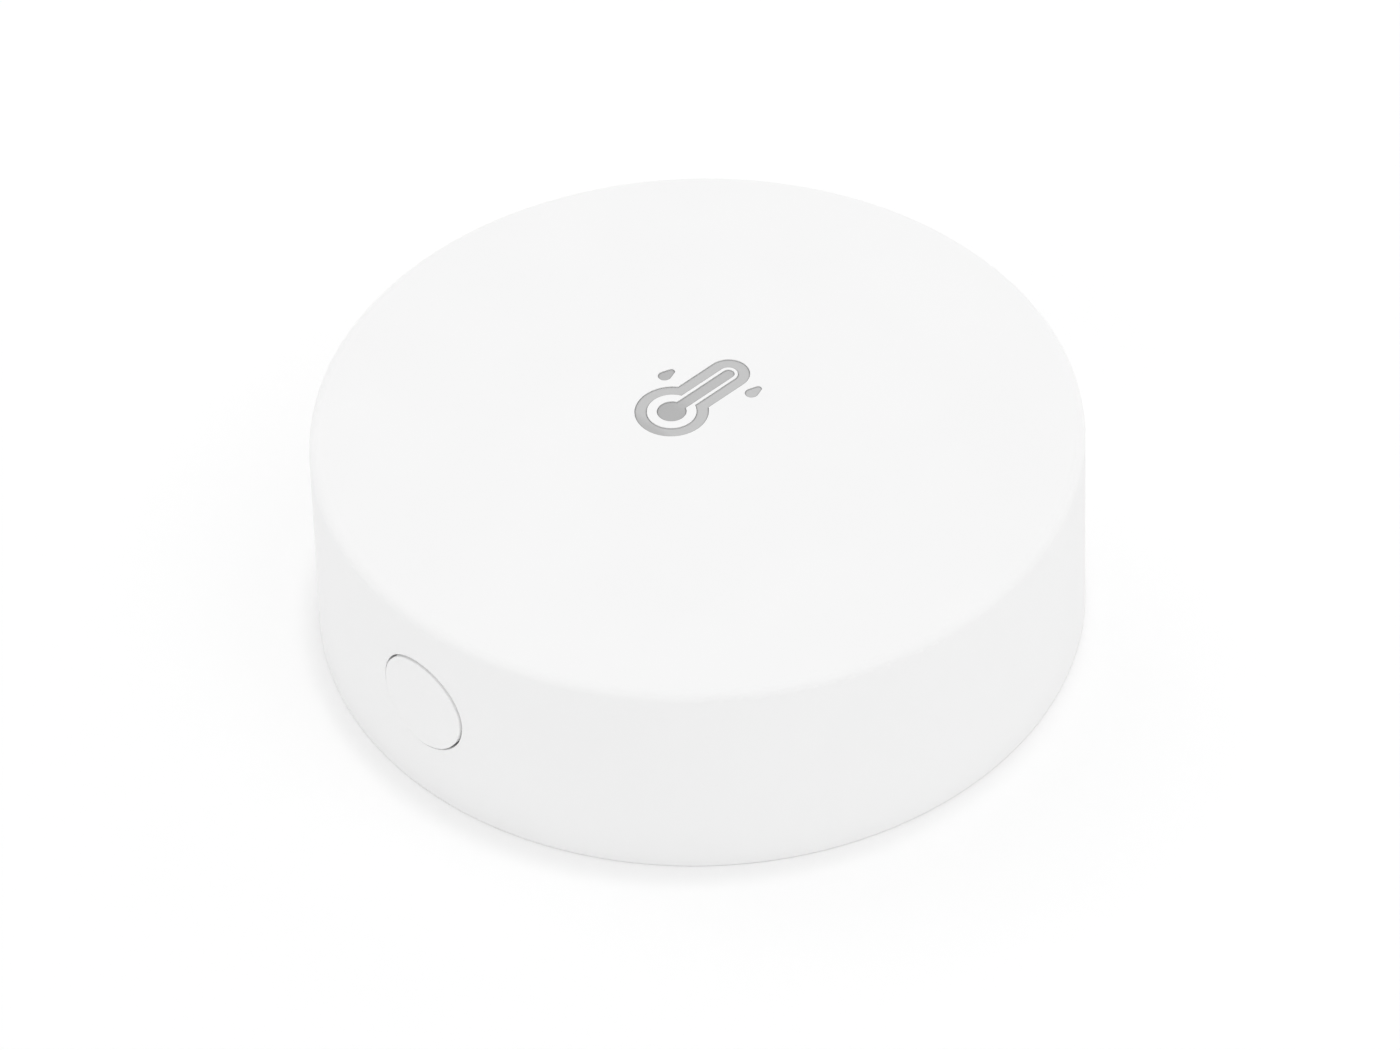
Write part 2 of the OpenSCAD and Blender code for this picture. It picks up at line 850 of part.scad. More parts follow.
// Radial bars joined in turn at their outer and inner ends, with a feed line inwards
module board_antenna() {
    in_r = well_out_r + antenna_margin;
    out_r = board_r - antenna_margin;
    first = antenna_angle - antenna_step * (antenna_bars - 1) / 2;
    last = first + antenna_step * (antenna_bars - 1);
    color([0.75, 0.6, 0.35])
        translate([0, 0, board_top_z]) {
            for (i = [0 : antenna_bars - 1])
                rotate(first + i * antenna_step)
                    block([out_r - in_r, trace_w, copper_t], (in_r + out_r) / 2);
            for (i = [0 : antenna_bars - 2]) {
                end_r = i % 2 == 0 ? out_r - trace_w / 2 : in_r + trace_w / 2;
                rotate(first + (i + 1 / 2) * antenna_step)
                    block([trace_w, 2 * end_r * sin(antenna_step / 2) + trace_w, copper_t], end_r);
            }
            rotate(last)
                block([in_r - cell_r + fuse, trace_w, copper_t], (in_r + cell_r + fuse) / 2);
        }
}

// Children standing on the board at a place given in shares of its radius
module on_board(shares) {
    upright_turn = len(shares) == 3 ? shares[2] * 90 : 0;
    translate([shares[0] * board_r, shares[1] * board_r, board_top_z])
        rotate(upright_turn)
            children();
}

// Chip with a dimple beside its first terminal
module chip(l, w, h) {
    dimple_r = h / 3;
    difference() {
        block([l, w, h]);
        translate([-l / 2 + w / 5, w / 2 - w / 5, h - h / 8])
            cylinder(r = dimple_r, h = h);
    }
}

module radio_chip() {
    color([0.12, 0.12, 0.13])
        on_board(radio_shares)
            chip(radio_w, radio_w, radio_h);
}

module memory_chip() {
    color([0.14, 0.14, 0.15])
        on_board(memory_shares)
            chip(memory_l, memory_w, memory_h);
}

module crystals() {
    color([0.78, 0.78, 0.76]) {
        on_board(radio_crystal_shares)
            crystal(radio_crystal_w);
        on_board([clock_crystal_shares[0], clock_crystal_shares[1], 1])
            crystal(clock_crystal_w);
    }
}

// Ceramic base with a lid set in from its edges
module crystal(w) {
    base_h = crystal_h * 2 / 3;
    lid_edge = crystal_h / 4;
    block([crystal_l, w, base_h]);
    block([crystal_l - 2 * lid_edge, w - 2 * lid_edge, crystal_h]);
}

module climate_sensor() {
    color([0.2, 0.2, 0.21])
        difference() {
            block([climate_w, climate_w, climate_h], 0, climate_y, board_top_z);
            translate([0, climate_y, board_top_z + climate_h - climate_hole_depth])
                cylinder(r = climate_hole_r, h = climate_hole_depth + overrun);
        }
}

module status_led() {
    color([0.85, 0.92, 1])
        on_board(led_shares) {
            block([led_l, led_w, led_base_h]);
            block([led_l * 2 / 3, led_w, led_base_h + led_lens_h]);
        }
}

module chip_capacitors() {
    color([0.72, 0.6, 0.45])
        for (shares = capacitor_shares)
            on_board(shares)
                block([chip_l, chip_w, capacitor_h]);
}

module chip_resistors() {
    color([0.15, 0.15, 0.16])
        for (shares = resistor_shares)
            on_board(shares)
                block([chip_l, chip_w, resistor_h]);
}

module chip_inductors() {
    color([0.35, 0.35, 0.36])
        for (shares = inductor_shares)
            on_board(shares)
                block([inductor_l, inductor_w, inductor_w]);
}

module bulk_capacitors() {
    color([0.7, 0.55, 0.3])
        for (shares = bulk_shares)
            on_board(shares)
                block([bulk_l, bulk_w, bulk_w]);
}

module test_pads() {
    color([0.85, 0.7, 0.35])
        on_board(pad_row_shares)
            for (i = [0 : pad_count - 1])
                translate([i * pad_pitch, 0, 0])
                    cylinder(r = pad_r, h = copper_t);
}

// Heights and depths inside the switch, measured from its front and the board
chamber_h = switch_h - 2 * chamber_t;
head_h = chamber_h - slide_gap;
nose_h = head_h - slide_gap;
chamber_d = play + head_d + laid_gap + dome_rise + dome_t;

module in_switch() {
    translate([0, -switch_front, board_top_z])
        children();
}

// Base with a chamber that opens to the front
module switch_body() {
    color([0.1, 0.1, 0.11])
        in_switch()
            difference() {
                block([switch_w, switch_d - bracket_t, switch_h - bracket_t], 0, (switch_d + bracket_t) / 2);
                block([head_w + slide_gap, 2 * chamber_d, chamber_h], 0, bracket_t, chamber_t);
            }
}

// Sheet over the front and top, with a window for the nose and a tab down each side
module switch_bracket() {
    color([0.8, 0.8, 0.82])
        in_switch()
            difference() {
                union() {
                    block([switch_w, bracket_t, switch_h], 0, bracket_t / 2);
                    block([switch_w, switch_d, bracket_t], 0, switch_d / 2, switch_h - bracket_t);
                    for (side = [-1, 1])
                        block([bracket_t, switch_d / 2, switch_h], side * (switch_w + bracket_t) / 2,
                            switch_d / 2);
                }
                block([nose_w + slide_gap, 2 * overrun, nose_h + slide_gap], 0, 0,
                    (switch_h - nose_h - slide_gap) / 2);
            }
}

module switch_plunger() {
    color([0.2, 0.2, 0.22])
        in_switch()
            union() {
                block([head_w, head_d, head_h], 0, bracket_t + play + head_d / 2, (switch_h - head_h) / 2);
                block([nose_w, nose_l + bracket_t + play + head_d / 2, nose_h], 0,
                    (bracket_t + play + head_d / 2 - nose_l) / 2, (switch_h - nose_h) / 2);
            }
}

// Arched strip that snaps through when the plunger's head presses its crown
module switch_dome() {
    half_w = head_w / 2;
    arch_r = (half_w * half_w + dome_rise * dome_rise) / (2 * dome_rise);
    crown = bracket_t + play + head_d + laid_gap;
    dome_h = nose_h;
    color([0.75, 0.75, 0.72])
        in_switch()
            translate([0, crown, (switch_h - dome_h) / 2])
                linear_extrude(dome_h)
                    intersection() {
                        difference() {
                            translate([0, arch_r])
                                circle(r = arch_r);
                            translate([0, arch_r])
                                circle(r = arch_r - dome_t);
                        }
                        translate([-half_w, 0])
                            square([head_w, dome_rise]);
                    }
}

module switch_terminals() {
    color([0.8, 0.8, 0.82])
        in_switch()
            for (side = [-1, 1])
                block([terminal_w, terminal_l, bracket_t], side * (switch_w / 2 - terminal_w),
                    switch_d + terminal_l / 2);
}

// Clips that press on the can's side from under the board
module positive_contacts() {
    sheet_z = board_z - contact_t / 2;
    leg_r = well_in_r - slide_gap - contact_t / 2;
    low_z = lug_top_z + clip_lift;
    touch_r = cell_r + play + contact_t / 2;
    bend = (leg_r - touch_r) / 3;
    touch_z = (low_z + sheet_z) / 2;
    color([0.8, 0.78, 0.7])
        for (angle = pin_angles)
            rotate(angle)
                upright(contact_w)
                    bent_sheet([
                        [leg_r - clip_foot, sheet_z],
                        [leg_r, sheet_z],
                        [leg_r, low_z],
                        [leg_r - bend, low_z],
                        [touch_r, touch_z],
                        [touch_r + bend, touch_z + bend]
                    ], contact_t);
}

// Leaf spring under the board with two fingers that press on the cap
module negative_contact() {
    sheet_z = board_z - contact_t / 2;
    touch_z = cell_top_z + laid_gap + contact_t / 2;
    color([0.8, 0.78, 0.7])
        upright(contact_w)
            bent_sheet([
                [-finger_reach, touch_z],
                [-foot_reach, sheet_z],
                [foot_reach, sheet_z],
                [finger_reach, touch_z]
            ], contact_t);
}

// Cup with rounded edges and an open top inside its crimped rim
module cell_can() {
    can_h = cell_h - cap_rise;
    color([0.78, 0.79, 0.8])
        translate([0, 0, cell_z])
            difference() {
                rotate_extrude() {
                    square([cell_r - can_edge_r, can_h]);
                    translate([0, can_edge_r])
                        square([cell_r, can_h - 2 * can_edge_r]);
                    for (edge_z = [can_edge_r, can_h - can_edge_r])
                        translate([cell_r - can_edge_r, edge_z])
                            circle(r = can_edge_r);
                }
                translate([0, 0, can_t])
                    cylinder(r = cell_r - crimp_w, h = cell_h);
            }
}

module cell_gasket() {
    color([0.85, 0.85, 0.8])
        tube(cell_r - crimp_w - gasket_w, cell_r - crimp_w - laid_gap, cell_z + can_t,
            cell_top_z - cap_rise + laid_gap);
}

module cell_cap() {
    color([0.82, 0.83, 0.84])
        translate([0, 0, cell_z + can_t])
            cylinder(r = cell_r - crimp_w - gasket_w - laid_gap, h = cell_h - can_t);
}

// Curved sheet on the wall's inside, behind the air slots
module vent_membrane() {
    sheet_w = (vent_count - 1) * vent_pitch + vent_w + 2 * membrane_edge;
    sheet_h = vent_h + 2 * membrane_edge;
    low_z = vent_z() - sheet_h / 2;
    color([0.92, 0.92, 0.9])
        intersection() {
            difference() {
                inside_wall(wall_t + laid_gap, low_z, low_z + sheet_h);
                inside_wall(wall_t + laid_gap + membrane_t, low_z - overrun, low_z + sheet_h + overrun);
            }
            block([sheet_w, body_r, body_h], 0, body_r);
        }
}

top_shell();
pictogram_outline();
pictogram_column();
pictogram_drops();
side_button();
chassis();
battery_cover();
adhesive_ring();
circuit_board();
board_antenna();
radio_chip();
memory_chip();
crystals();
climate_sensor();
status_led();
chip_capacitors();
chip_resistors();
chip_inductors();
bulk_capacitors();
test_pads();
switch_body();
switch_bracket();
switch_dome();
switch_plunger();
switch_terminals();
positive_contacts();
negative_contact();
cell_can();
cell_gasket();
cell_cap();
vent_membrane();
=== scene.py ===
import math

import bmesh
import bpy
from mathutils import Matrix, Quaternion, Vector


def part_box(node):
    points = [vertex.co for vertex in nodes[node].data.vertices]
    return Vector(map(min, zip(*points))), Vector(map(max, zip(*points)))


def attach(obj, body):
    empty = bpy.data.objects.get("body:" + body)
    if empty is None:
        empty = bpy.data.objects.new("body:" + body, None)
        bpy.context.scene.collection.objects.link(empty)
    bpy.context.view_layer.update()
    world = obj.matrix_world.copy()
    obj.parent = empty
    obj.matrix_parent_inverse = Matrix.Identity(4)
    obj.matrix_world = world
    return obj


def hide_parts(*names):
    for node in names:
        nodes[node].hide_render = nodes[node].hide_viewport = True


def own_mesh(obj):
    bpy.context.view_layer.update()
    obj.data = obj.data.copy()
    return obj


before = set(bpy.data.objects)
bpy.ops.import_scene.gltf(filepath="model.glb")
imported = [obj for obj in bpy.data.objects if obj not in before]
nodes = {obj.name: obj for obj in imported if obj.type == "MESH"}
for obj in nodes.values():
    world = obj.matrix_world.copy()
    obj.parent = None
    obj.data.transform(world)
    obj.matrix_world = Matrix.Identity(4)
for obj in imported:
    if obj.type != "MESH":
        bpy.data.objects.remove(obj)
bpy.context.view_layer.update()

# A size written with MM is in metres. The others are in millimetres, and get it where they are used.

MM = 0.001


# Finishes

PLAIN_SPECULAR = 0.3
WAVE_AT_SCALE_ONE = 0.3
INK_EDGE_TONE = 0.62
INK_EDGE_WIDTH = 0.06
WEAVE_STEP = 0.25
LAYER_STEP = 0.1
BARE_DARK = (0.20, 0.20, 0.08)
BARE_LIGHT = (0.30, 0.29, 0.13)


def new_finish(name):
    """A material with its shader and the coordinates of the piece itself."""
    finish = bpy.data.materials.new(name + "_finish")
    finish.use_nodes = True
    tree = finish.node_tree
    shader = tree.nodes["Principled BSDF"]
    shader.inputs["Specular IOR Level"].default_value = PLAIN_SPECULAR
    place = tree.nodes.new("ShaderNodeTexCoord")
    return finish, tree, shader, place.outputs["Object"]


def speckle(tree, place, size_mm, detail=3.0, roughness=0.5):
    """Noise whose blotches are about size_mm across."""
    noise = tree.nodes.new("ShaderNodeTexNoise")
    noise.inputs["Scale"].default_value = 1 / (size_mm * MM)
    noise.inputs["Detail"].default_value = detail
    noise.inputs["Roughness"].default_value = roughness
    tree.links.new(place, noise.inputs["Vector"])
    return noise.outputs["Fac"]


def between(tree, factor, low, high, start=0.3, end=0.7):
    """A value that follows factor from low to high."""
    span = tree.nodes.new("ShaderNodeMapRange")
    span.inputs["From Min"].default_value = start
    span.inputs["From Max"].default_value = end
    span.inputs["To Min"].default_value = low
    span.inputs["To Max"].default_value = high
    tree.links.new(factor, span.inputs["Value"])
    return span.outputs["Result"]


def tint(tree, factor, low, high, start=0.3, end=0.7):
    """A colour that follows factor from low to high."""
    ramp = tree.nodes.new("ShaderNodeValToRGB")
    first, last = ramp.color_ramp.elements
    first.position, last.position = start, end
    first.color = (*low, 1)
    last.color = (*high, 1)
    tree.links.new(factor, ramp.inputs["Fac"])
    return ramp.outputs["Color"]


def shaded(colour, share):
    """The colour made darker or lighter by a share."""
    return tuple(share * c for c in colour)


def math_node(tree, operation, first, second=None):
    """The result of a Math node on one or two values."""
    step = tree.nodes.new("ShaderNodeMath")
    step.operation = operation
    tree.links.new(first, step.inputs[0])
    if second is not None:
        tree.links.new(second, step.inputs[1])
    return step.outputs[0]


def waves(tree, place, direction, step_mm, distortion=0.0):
    """Soft bands that repeat about every step_mm."""
    bands = tree.nodes.new("ShaderNodeTexWave")
    bands.bands_direction = direction
    bands.inputs["Scale"].default_value = WAVE_AT_SCALE_ONE / (step_mm * MM)
    bands.inputs["Distortion"].default_value = distortion
    tree.links.new(place, bands.inputs["Vector"])
    return bands.outputs["Fac"]


def relief(tree, shader, height, depth_mm):
    """Bumps of about depth_mm under the light."""
    bump = tree.nodes.new("ShaderNodeBump")
    bump.inputs["Distance"].default_value = depth_mm * MM
    tree.links.new(height, bump.inputs["Height"])
    tree.links.new(bump.outputs["Normal"], shader.inputs["Normal"])


def moulded_plastic(name, colour, roughness=0.6, grain_mm=0.16, depth_mm=0.0012):
    """Plastic from a spark-eroded mould: fine even grain and a faint drift of shade."""
    finish, tree, shader, place = new_finish(name)
    drift = speckle(tree, place, size_mm=6.0, detail=2.0)
    dark = shaded(colour, 0.99)
    tree.links.new(tint(tree, drift, dark, colour), shader.inputs["Base Color"])
    grain = speckle(tree, place, grain_mm, detail=2.0)
    rough = between(tree, grain, roughness - 0.04, roughness + 0.04)
    tree.links.new(rough, shader.inputs["Roughness"])
    relief(tree, shader, grain, depth_mm)
    return finish


def printed_ink(name, start_tone, end_tone, axis, start_mm, end_mm):
    """Screen ink: a satin film whose tone runs from one end of an axis of the roof to the other, and which
    is darker in a narrow line along its edges.
    """
    finish, tree, shader, place = new_finish(name)
    axes = tree.nodes.new("ShaderNodeSeparateXYZ")
    tree.links.new(place, axes.inputs[0])
    along = axes.outputs[axis]
    # The ink's tone changes from start_mm to end_mm along the axis, with a faint mottle.
    cover = between(tree, along, low=0.0, high=1.0, start=start_mm * MM, end=end_mm * MM)
    mottle = speckle(tree, place, size_mm=0.12)
    pits = between(tree, mottle, low=-0.15, high=0.15)
    uneven = math_node(tree, "ADD", cover, pits)
    ink = tint(tree, uneven, (start_tone, start_tone, start_tone), (end_tone, end_tone, end_tone), start=0.0, end=1.0)
    # The ink is darker in a narrow line along the edge of each form, where the mesh marks its corners.
    edge_attribute = tree.nodes.new("ShaderNodeAttribute")
    edge_attribute.attribute_name = "dark_ink_edge"
    edge = tree.nodes.new("ShaderNodeMix")
    edge.data_type = "RGBA"
    edge.blend_type = "MULTIPLY"
    edge.inputs["B"].default_value = (INK_EDGE_TONE, INK_EDGE_TONE, INK_EDGE_TONE, 1)
    tree.links.new(edge_attribute.outputs["Fac"], edge.inputs["Factor"])
    tree.links.new(ink, edge.inputs["A"])
    tree.links.new(edge.outputs["Result"], shader.inputs["Base Color"])
    shader.inputs["Roughness"].default_value = 0.5
    relief(tree, shader, mottle, depth_mm=0.0015)
    return finish


def foam(name, colour, cell_mm):
    """Closed foam: round cells cut open, with walls between them, painted darker in the hollows of the
    cells as painted shade and lighter on the walls as painted light.
    """
    finish, tree, shader, place = new_finish(name)
    cells = tree.nodes.new("ShaderNodeTexVoronoi")
    cells.inputs["Scale"].default_value = 1 / (cell_mm * MM)
    tree.links.new(place, cells.inputs["Vector"])
    depth = cells.outputs["Distance"]
    dark = shaded(colour, 0.7)
    light = shaded(colour, 1.15)
    # Painted shade in the hollows of the cells and painted light on the walls between them.
    tree.links.new(tint(tree, depth, dark, light, start=0.0, end=0.6), shader.inputs["Base Color"])
    shader.inputs["Roughness"].default_value = 0.9
    shader.inputs["Sheen Weight"].default_value = 0.2
    relief(tree, shader, depth, depth_mm=0.05)
    return finish


def tape_film(name, colour):
    """Smooth tacky film of the tape: nearly flat, with slow ripples and a few dull patches."""
    finish, tree, shader, place = new_finish(name)
    patches = speckle(tree, place, size_mm=2.0)
    dark = shaded(colour, 0.93)
    tree.links.new(tint(tree, patches, dark, colour), shader.inputs["Base Color"])
    tree.links.new(between(tree, patches, low=0.3, high=0.42), shader.inputs["Roughness"])
    relief(tree, shader, speckle(tree, place, size_mm=1.2, detail=2.0), depth_mm=0.01)
    return finish


def plated_metal(name, colour, roughness, streak_mm=0.05, depth_mm=0.0008):
    """Plated or rolled sheet: satin, with fine streaks along X and small dull spots."""
    finish, tree, shader, place = new_finish(name)
    shader.inputs["Metallic"].default_value = 1.0
    stretch = tree.nodes.new("ShaderNodeMapping")
    stretch.inputs["Scale"].default_value = (0.06, 1.0, 1.0)
    tree.links.new(place, stretch.inputs["Vector"])
    streaks = speckle(tree, stretch.outputs["Vector"], streak_mm, detail=2.0)
    spots = speckle(tree, place, size_mm=0.8, detail=4.0)
    dull = shaded(colour, 0.92)
    tree.links.new(tint(tree, spots, dull, colour), shader.inputs["Base Color"])
    rough = between(tree, streaks, roughness - 0.07, roughness + 0.07)
    tree.links.new(rough, shader.inputs["Roughness"])
    relief(tree, shader, streaks, depth_mm)
    return finish


def spun_steel(name, colour, roughness, ring_mm=0.06):
    """Pressed steel with faint rings round the middle, as on a coin cell."""
    finish, tree, shader, place = new_finish(name)
    shader.inputs["Metallic"].default_value = 1.0
    rings = tree.nodes.new("ShaderNodeTexWave")
    rings.wave_type = "RINGS"
    rings.rings_direction = "Z"
    rings.inputs["Scale"].default_value = WAVE_AT_SCALE_ONE / (ring_mm * MM)
    rings.inputs["Distortion"].default_value = 1.5
    rings.inputs["Detail"].default_value = 2.0
    tree.links.new(place, rings.inputs["Vector"])
    handling = speckle(tree, place, size_mm=2.5, detail=4.0)
    dull = shaded(colour, 0.94)
    tree.links.new(tint(tree, handling, dull, colour), shader.inputs["Base Color"])
    rough = between(tree, handling, roughness - 0.06, roughness + 0.08)
    tree.links.new(rough, shader.inputs["Roughness"])
    relief(tree, shader, rings.outputs["Fac"], depth_mm=0.0006)
    return finish


def solder_mask(name, colour):
    """Lacquered glass laminate: the weave shows through a glossy film, and the cut edge is bare."""
    finish, tree, shader, place = new_finish(name)
    weave = waves(tree, place, "DIAGONAL", WEAVE_STEP, distortion=0.6)
    lacquer = tint(tree, weave, colour, shaded(colour, 1.2))
    layers = waves(tree, place, "Z", LAYER_STEP, distortion=0.4)
    bare = tint(tree, layers, BARE_DARK, BARE_LIGHT)
    facing = tree.nodes.new("ShaderNodeSeparateXYZ")
    tree.links.new(place.node.outputs["Normal"], facing.inputs[0])
    upright = math_node(tree, "ABSOLUTE", facing.outputs["Z"])
    flat = between(tree, upright, low=0.0, high=1.0, start=0.4, end=0.6)
    side = tree.nodes.new("ShaderNodeMix")
    side.data_type = "RGBA"
    tree.links.new(flat, side.inputs["Factor"])
    tree.links.new(bare, side.inputs["A"])
    tree.links.new(lacquer, side.inputs["B"])
    tree.links.new(side.outputs["Result"], shader.inputs["Base Color"])
    film = speckle(tree, place, size_mm=0.5)
    tree.links.new(between(tree, film, low=0.25, high=0.38), shader.inputs["Roughness"])
    relief(tree, shader, film, depth_mm=0.004)
    return finish


def moulded_epoxy(name, colour, roughness=0.55):
    """Filled epoxy of a chip: fine matt grain with small bright filler specks."""
    finish, tree, shader, place = new_finish(name)
    filler = speckle(tree, place, size_mm=0.05, detail=4.0, roughness=0.7)
    light = tuple(1.7 * c + 0.004 for c in colour)
    tree.links.new(tint(tree, filler, colour, light), shader.inputs["Base Color"])
    rough = between(tree, filler, roughness - 0.1, roughness + 0.1)
    tree.links.new(rough, shader.inputs["Roughness"])
    relief(tree, shader, filler, depth_mm=0.003)
    return finish


def fired_ceramic(name, colour, roughness=0.45):
    """Sintered ceramic: fine grain, and small pores painted darker as painted shade."""
    finish, tree, shader, place = new_finish(name)
    pores = speckle(tree, place, size_mm=0.04, roughness=0.6)
    # Painted shade: the pores are darker than the grain around them.
    dark = shaded(colour, 0.8)
    grain = tint(tree, pores, dark, colour, start=0.35, end=0.55)
    tree.links.new(grain, shader.inputs["Base Color"])
    tree.links.new(between(tree, pores, roughness + 0.1, roughness), shader.inputs["Roughness"])
    relief(tree, shader, pores, depth_mm=0.002)
    return finish


def cloudy_polymer(name, colour, roughness, clear):
    """Unfilled polymer that lets some light through, such as a lens or a gasket."""
    finish, tree, shader, place = new_finish(name)
    haze = speckle(tree, place, size_mm=0.3)
    dark = shaded(colour, 0.9)
    tree.links.new(tint(tree, haze, dark, colour), shader.inputs["Base Color"])
    tree.links.new(between(tree, haze, roughness, roughness + 0.12), shader.inputs["Roughness"])
    shader.inputs["Transmission Weight"].default_value = clear
    shader.inputs["IOR"].default_value = 1.5
    relief(tree, shader, haze, depth_mm=0.002)
    return finish


def woven_cloth(name, colour, thread_mm):
    """Fine dust cloth, woven in X and Z, with painted shade between the threads."""
    finish, tree, shader, place = new_finish(name)
    warp = waves(tree, place, "X", thread_mm)
    weft = waves(tree, place, "Z", thread_mm)
    weave = math_node(tree, "MULTIPLY", warp, weft)
    # Painted shade: the colour is darker where the threads dip and part.
    dark = shaded(colour, 0.55)
    threads_and_shade = tint(tree, weave, dark, colour, start=0.0, end=0.7)
    tree.links.new(threads_and_shade, shader.inputs["Base Color"])
    shader.inputs["Roughness"].default_value = 0.85
    shader.inputs["Sheen Weight"].default_value = 0.3
    relief(tree, shader, weave, depth_mm=0.02)
    return finish


shell_plastic = moulded_plastic("shell_plastic", (0.90, 0.90, 0.90))
button_plastic = moulded_plastic("button_plastic", (0.90, 0.90, 0.90))
chassis_plastic = moulded_plastic("chassis_plastic", (0.86, 0.86, 0.855))
cover_plastic = moulded_plastic("cover_plastic", (0.86, 0.86, 0.855))
outline_ink = printed_ink("outline_ink", 0.465, 0.537, "Y", -1.6, -1.2)
column_ink = printed_ink("column_ink", 0.435, 0.50, "Y", 0.1, 1.0)
drops_ink = printed_ink("drops_ink", 0.46, 0.54, "X", -3.4, 0.0)
adhesive_foam = foam("adhesive_foam", (0.32, 0.32, 0.33), 0.18)
adhesive_film = tape_film("adhesive_film", (0.36, 0.36, 0.37))
cell_steel = spun_steel("cell_steel", (0.62, 0.61, 0.59), 0.3)
gasket_nylon = cloudy_polymer("gasket_nylon", (0.60, 0.60, 0.52), 0.35, 0.1)
contact_nickel = plated_metal("contact_nickel", (0.66, 0.63, 0.57), 0.25)
switch_steel = plated_metal("switch_steel", (0.60, 0.60, 0.59), 0.3)
dome_steel = plated_metal("dome_steel", (0.64, 0.63, 0.60), 0.18)
terminal_tin = plated_metal("terminal_tin", (0.72, 0.72, 0.71), 0.35)
pad_gold = plated_metal("pad_gold", (0.83, 0.61, 0.27), 0.25)
board_laminate = solder_mask("board_laminate", (0.018, 0.13, 0.055))
antenna_copper = solder_mask("antenna_copper", (0.06, 0.24, 0.09))
covered_copper = solder_mask("covered_copper", (0.030, 0.18, 0.075))
board_print = moulded_epoxy("board_print", (0.72, 0.72, 0.70), 0.6)
chip_epoxy = moulded_epoxy("chip_epoxy", (0.020, 0.020, 0.022))
tantalum_epoxy = moulded_epoxy("tantalum_epoxy", (0.62, 0.40, 0.08), 0.5)
sensor_epoxy = moulded_epoxy("sensor_epoxy", (0.030, 0.030, 0.033))
inductor_ferrite = fired_ceramic("inductor_ferrite", (0.10, 0.10, 0.11), 0.5)
capacitor_ceramic = fired_ceramic("capacitor_ceramic", (0.42, 0.29, 0.17))
resistor_ceramic = fired_ceramic("resistor_ceramic", (0.78, 0.77, 0.74))
resistor_glass = moulded_epoxy("resistor_glass", (0.015, 0.015, 0.018), 0.25)
tantalum_bar = moulded_epoxy("tantalum_bar", (0.30, 0.15, 0.03), 0.45)
crystal_can = plated_metal("crystal_can", (0.70, 0.68, 0.62), 0.22)
crystal_ceramic = fired_ceramic("crystal_ceramic", (0.10, 0.09, 0.09))
led_ceramic = fired_ceramic("led_ceramic", (0.82, 0.82, 0.80))
led_lens = cloudy_polymer("led_lens", (0.90, 0.88, 0.70), 0.2, 0.35)
switch_plastic = moulded_plastic("switch_plastic", (0.025, 0.025, 0.027), 0.45)
plunger_plastic = moulded_plastic("plunger_plastic", (0.055, 0.055, 0.06), 0.45)
membrane_cloth = woven_cloth("membrane_cloth", (0.80, 0.80, 0.79), 0.09)


NODE_FINISHES = {
    "top_shell": shell_plastic,
    "side_button": button_plastic,
    "chassis": chassis_plastic,
    "battery_cover": cover_plastic,
    "pictogram_outline": outline_ink,
    "pictogram_column": column_ink,
    "pictogram_drops": drops_ink,
    "adhesive_ring": adhesive_foam,
    "circuit_board": board_laminate,
    "board_antenna": antenna_copper,
    "radio_chip": chip_epoxy,
    "memory_chip": chip_epoxy,
    "crystals": crystal_can,
    "climate_sensor": sensor_epoxy,
    "status_led": led_lens,
    "chip_capacitors": capacitor_ceramic,
    "chip_resistors": resistor_ceramic,
    "chip_inductors": inductor_ferrite,
    "bulk_capacitors": tantalum_epoxy,
    "test_pads": pad_gold,
    "switch_body": switch_plastic,
    "switch_bracket": switch_steel,
    "switch_dome": dome_steel,
    "switch_plunger": plunger_plastic,
    "switch_terminals": terminal_tin,
    "positive_contacts": contact_nickel,
    "negative_contact": contact_nickel,
    "cell_can": cell_steel,
    "cell_gasket": gasket_nylon,
    "cell_cap": cell_steel,
    "vent_membrane": membrane_cloth,
}

for node, finish in NODE_FINISHES.items():
    for slot in nodes[node].material_slots:
        slot.material = finish


# Shell and button with eased edges

SMOOTH_ANGLE = math.radians(30)
SAME_PLACE = 0.0001 * MM
FACES_UP = 0.99
WALL_RADIUS = 17.8 * MM
WALL_TOP = 10.0 * MM
VENT_FOOT = 2.0 * MM
CAP_RADIUS = 17.7 * MM
BUTTON_HEIGHT = 5.48 * MM
HOLE_RADIUS = 2.5 * MM
HOLE_SLACK = 0.05 * MM
HOLE_EASE = 0.02
VENT_EASE = 0.08
CAP_EASE = 0.02
RIM_TOP = 0.11
RIM_DROP = 0.035


def merged(node):
    """A mesh of the solid with its corners joined."""
    mesh = nodes[node].data.copy()
    mesh.attributes.remove(mesh.attributes["custom_normal"])
    bm = bmesh.new()
    bm.from_mesh(mesh)
    bpy.data.meshes.remove(mesh)
    bmesh.ops.remove_doubles(bm, verts=bm.verts, dist=SAME_PLACE)
    return bm


def sharp_edges(bm, chosen):
    """The sharp edges of which every corner is chosen."""
    found = []
    for edge in bm.edges:
        if edge.calc_face_angle(0) < SMOOTH_ANGLE:
            continue
        if all(chosen(corner.co) for corner in edge.verts):
            found.append(edge)
    return found


def round_over(bm, edges, width_mm, steps):
    """Rounds the edges over width_mm."""
    bmesh.ops.bevel(
        bm,
        geom=edges,
        affect="EDGES",
        offset=width_mm * MM,
        offset_type="OFFSET",
        segments=steps,
        profile=0.5,
        clamp_overlap=True,
        material=-1,
    )


def ease(bm, chosen, width_mm, steps=3):
    """Rounds the chosen sharp edges over width_mm."""
    round_over(bm, sharp_edges(bm, chosen), width_mm, steps)


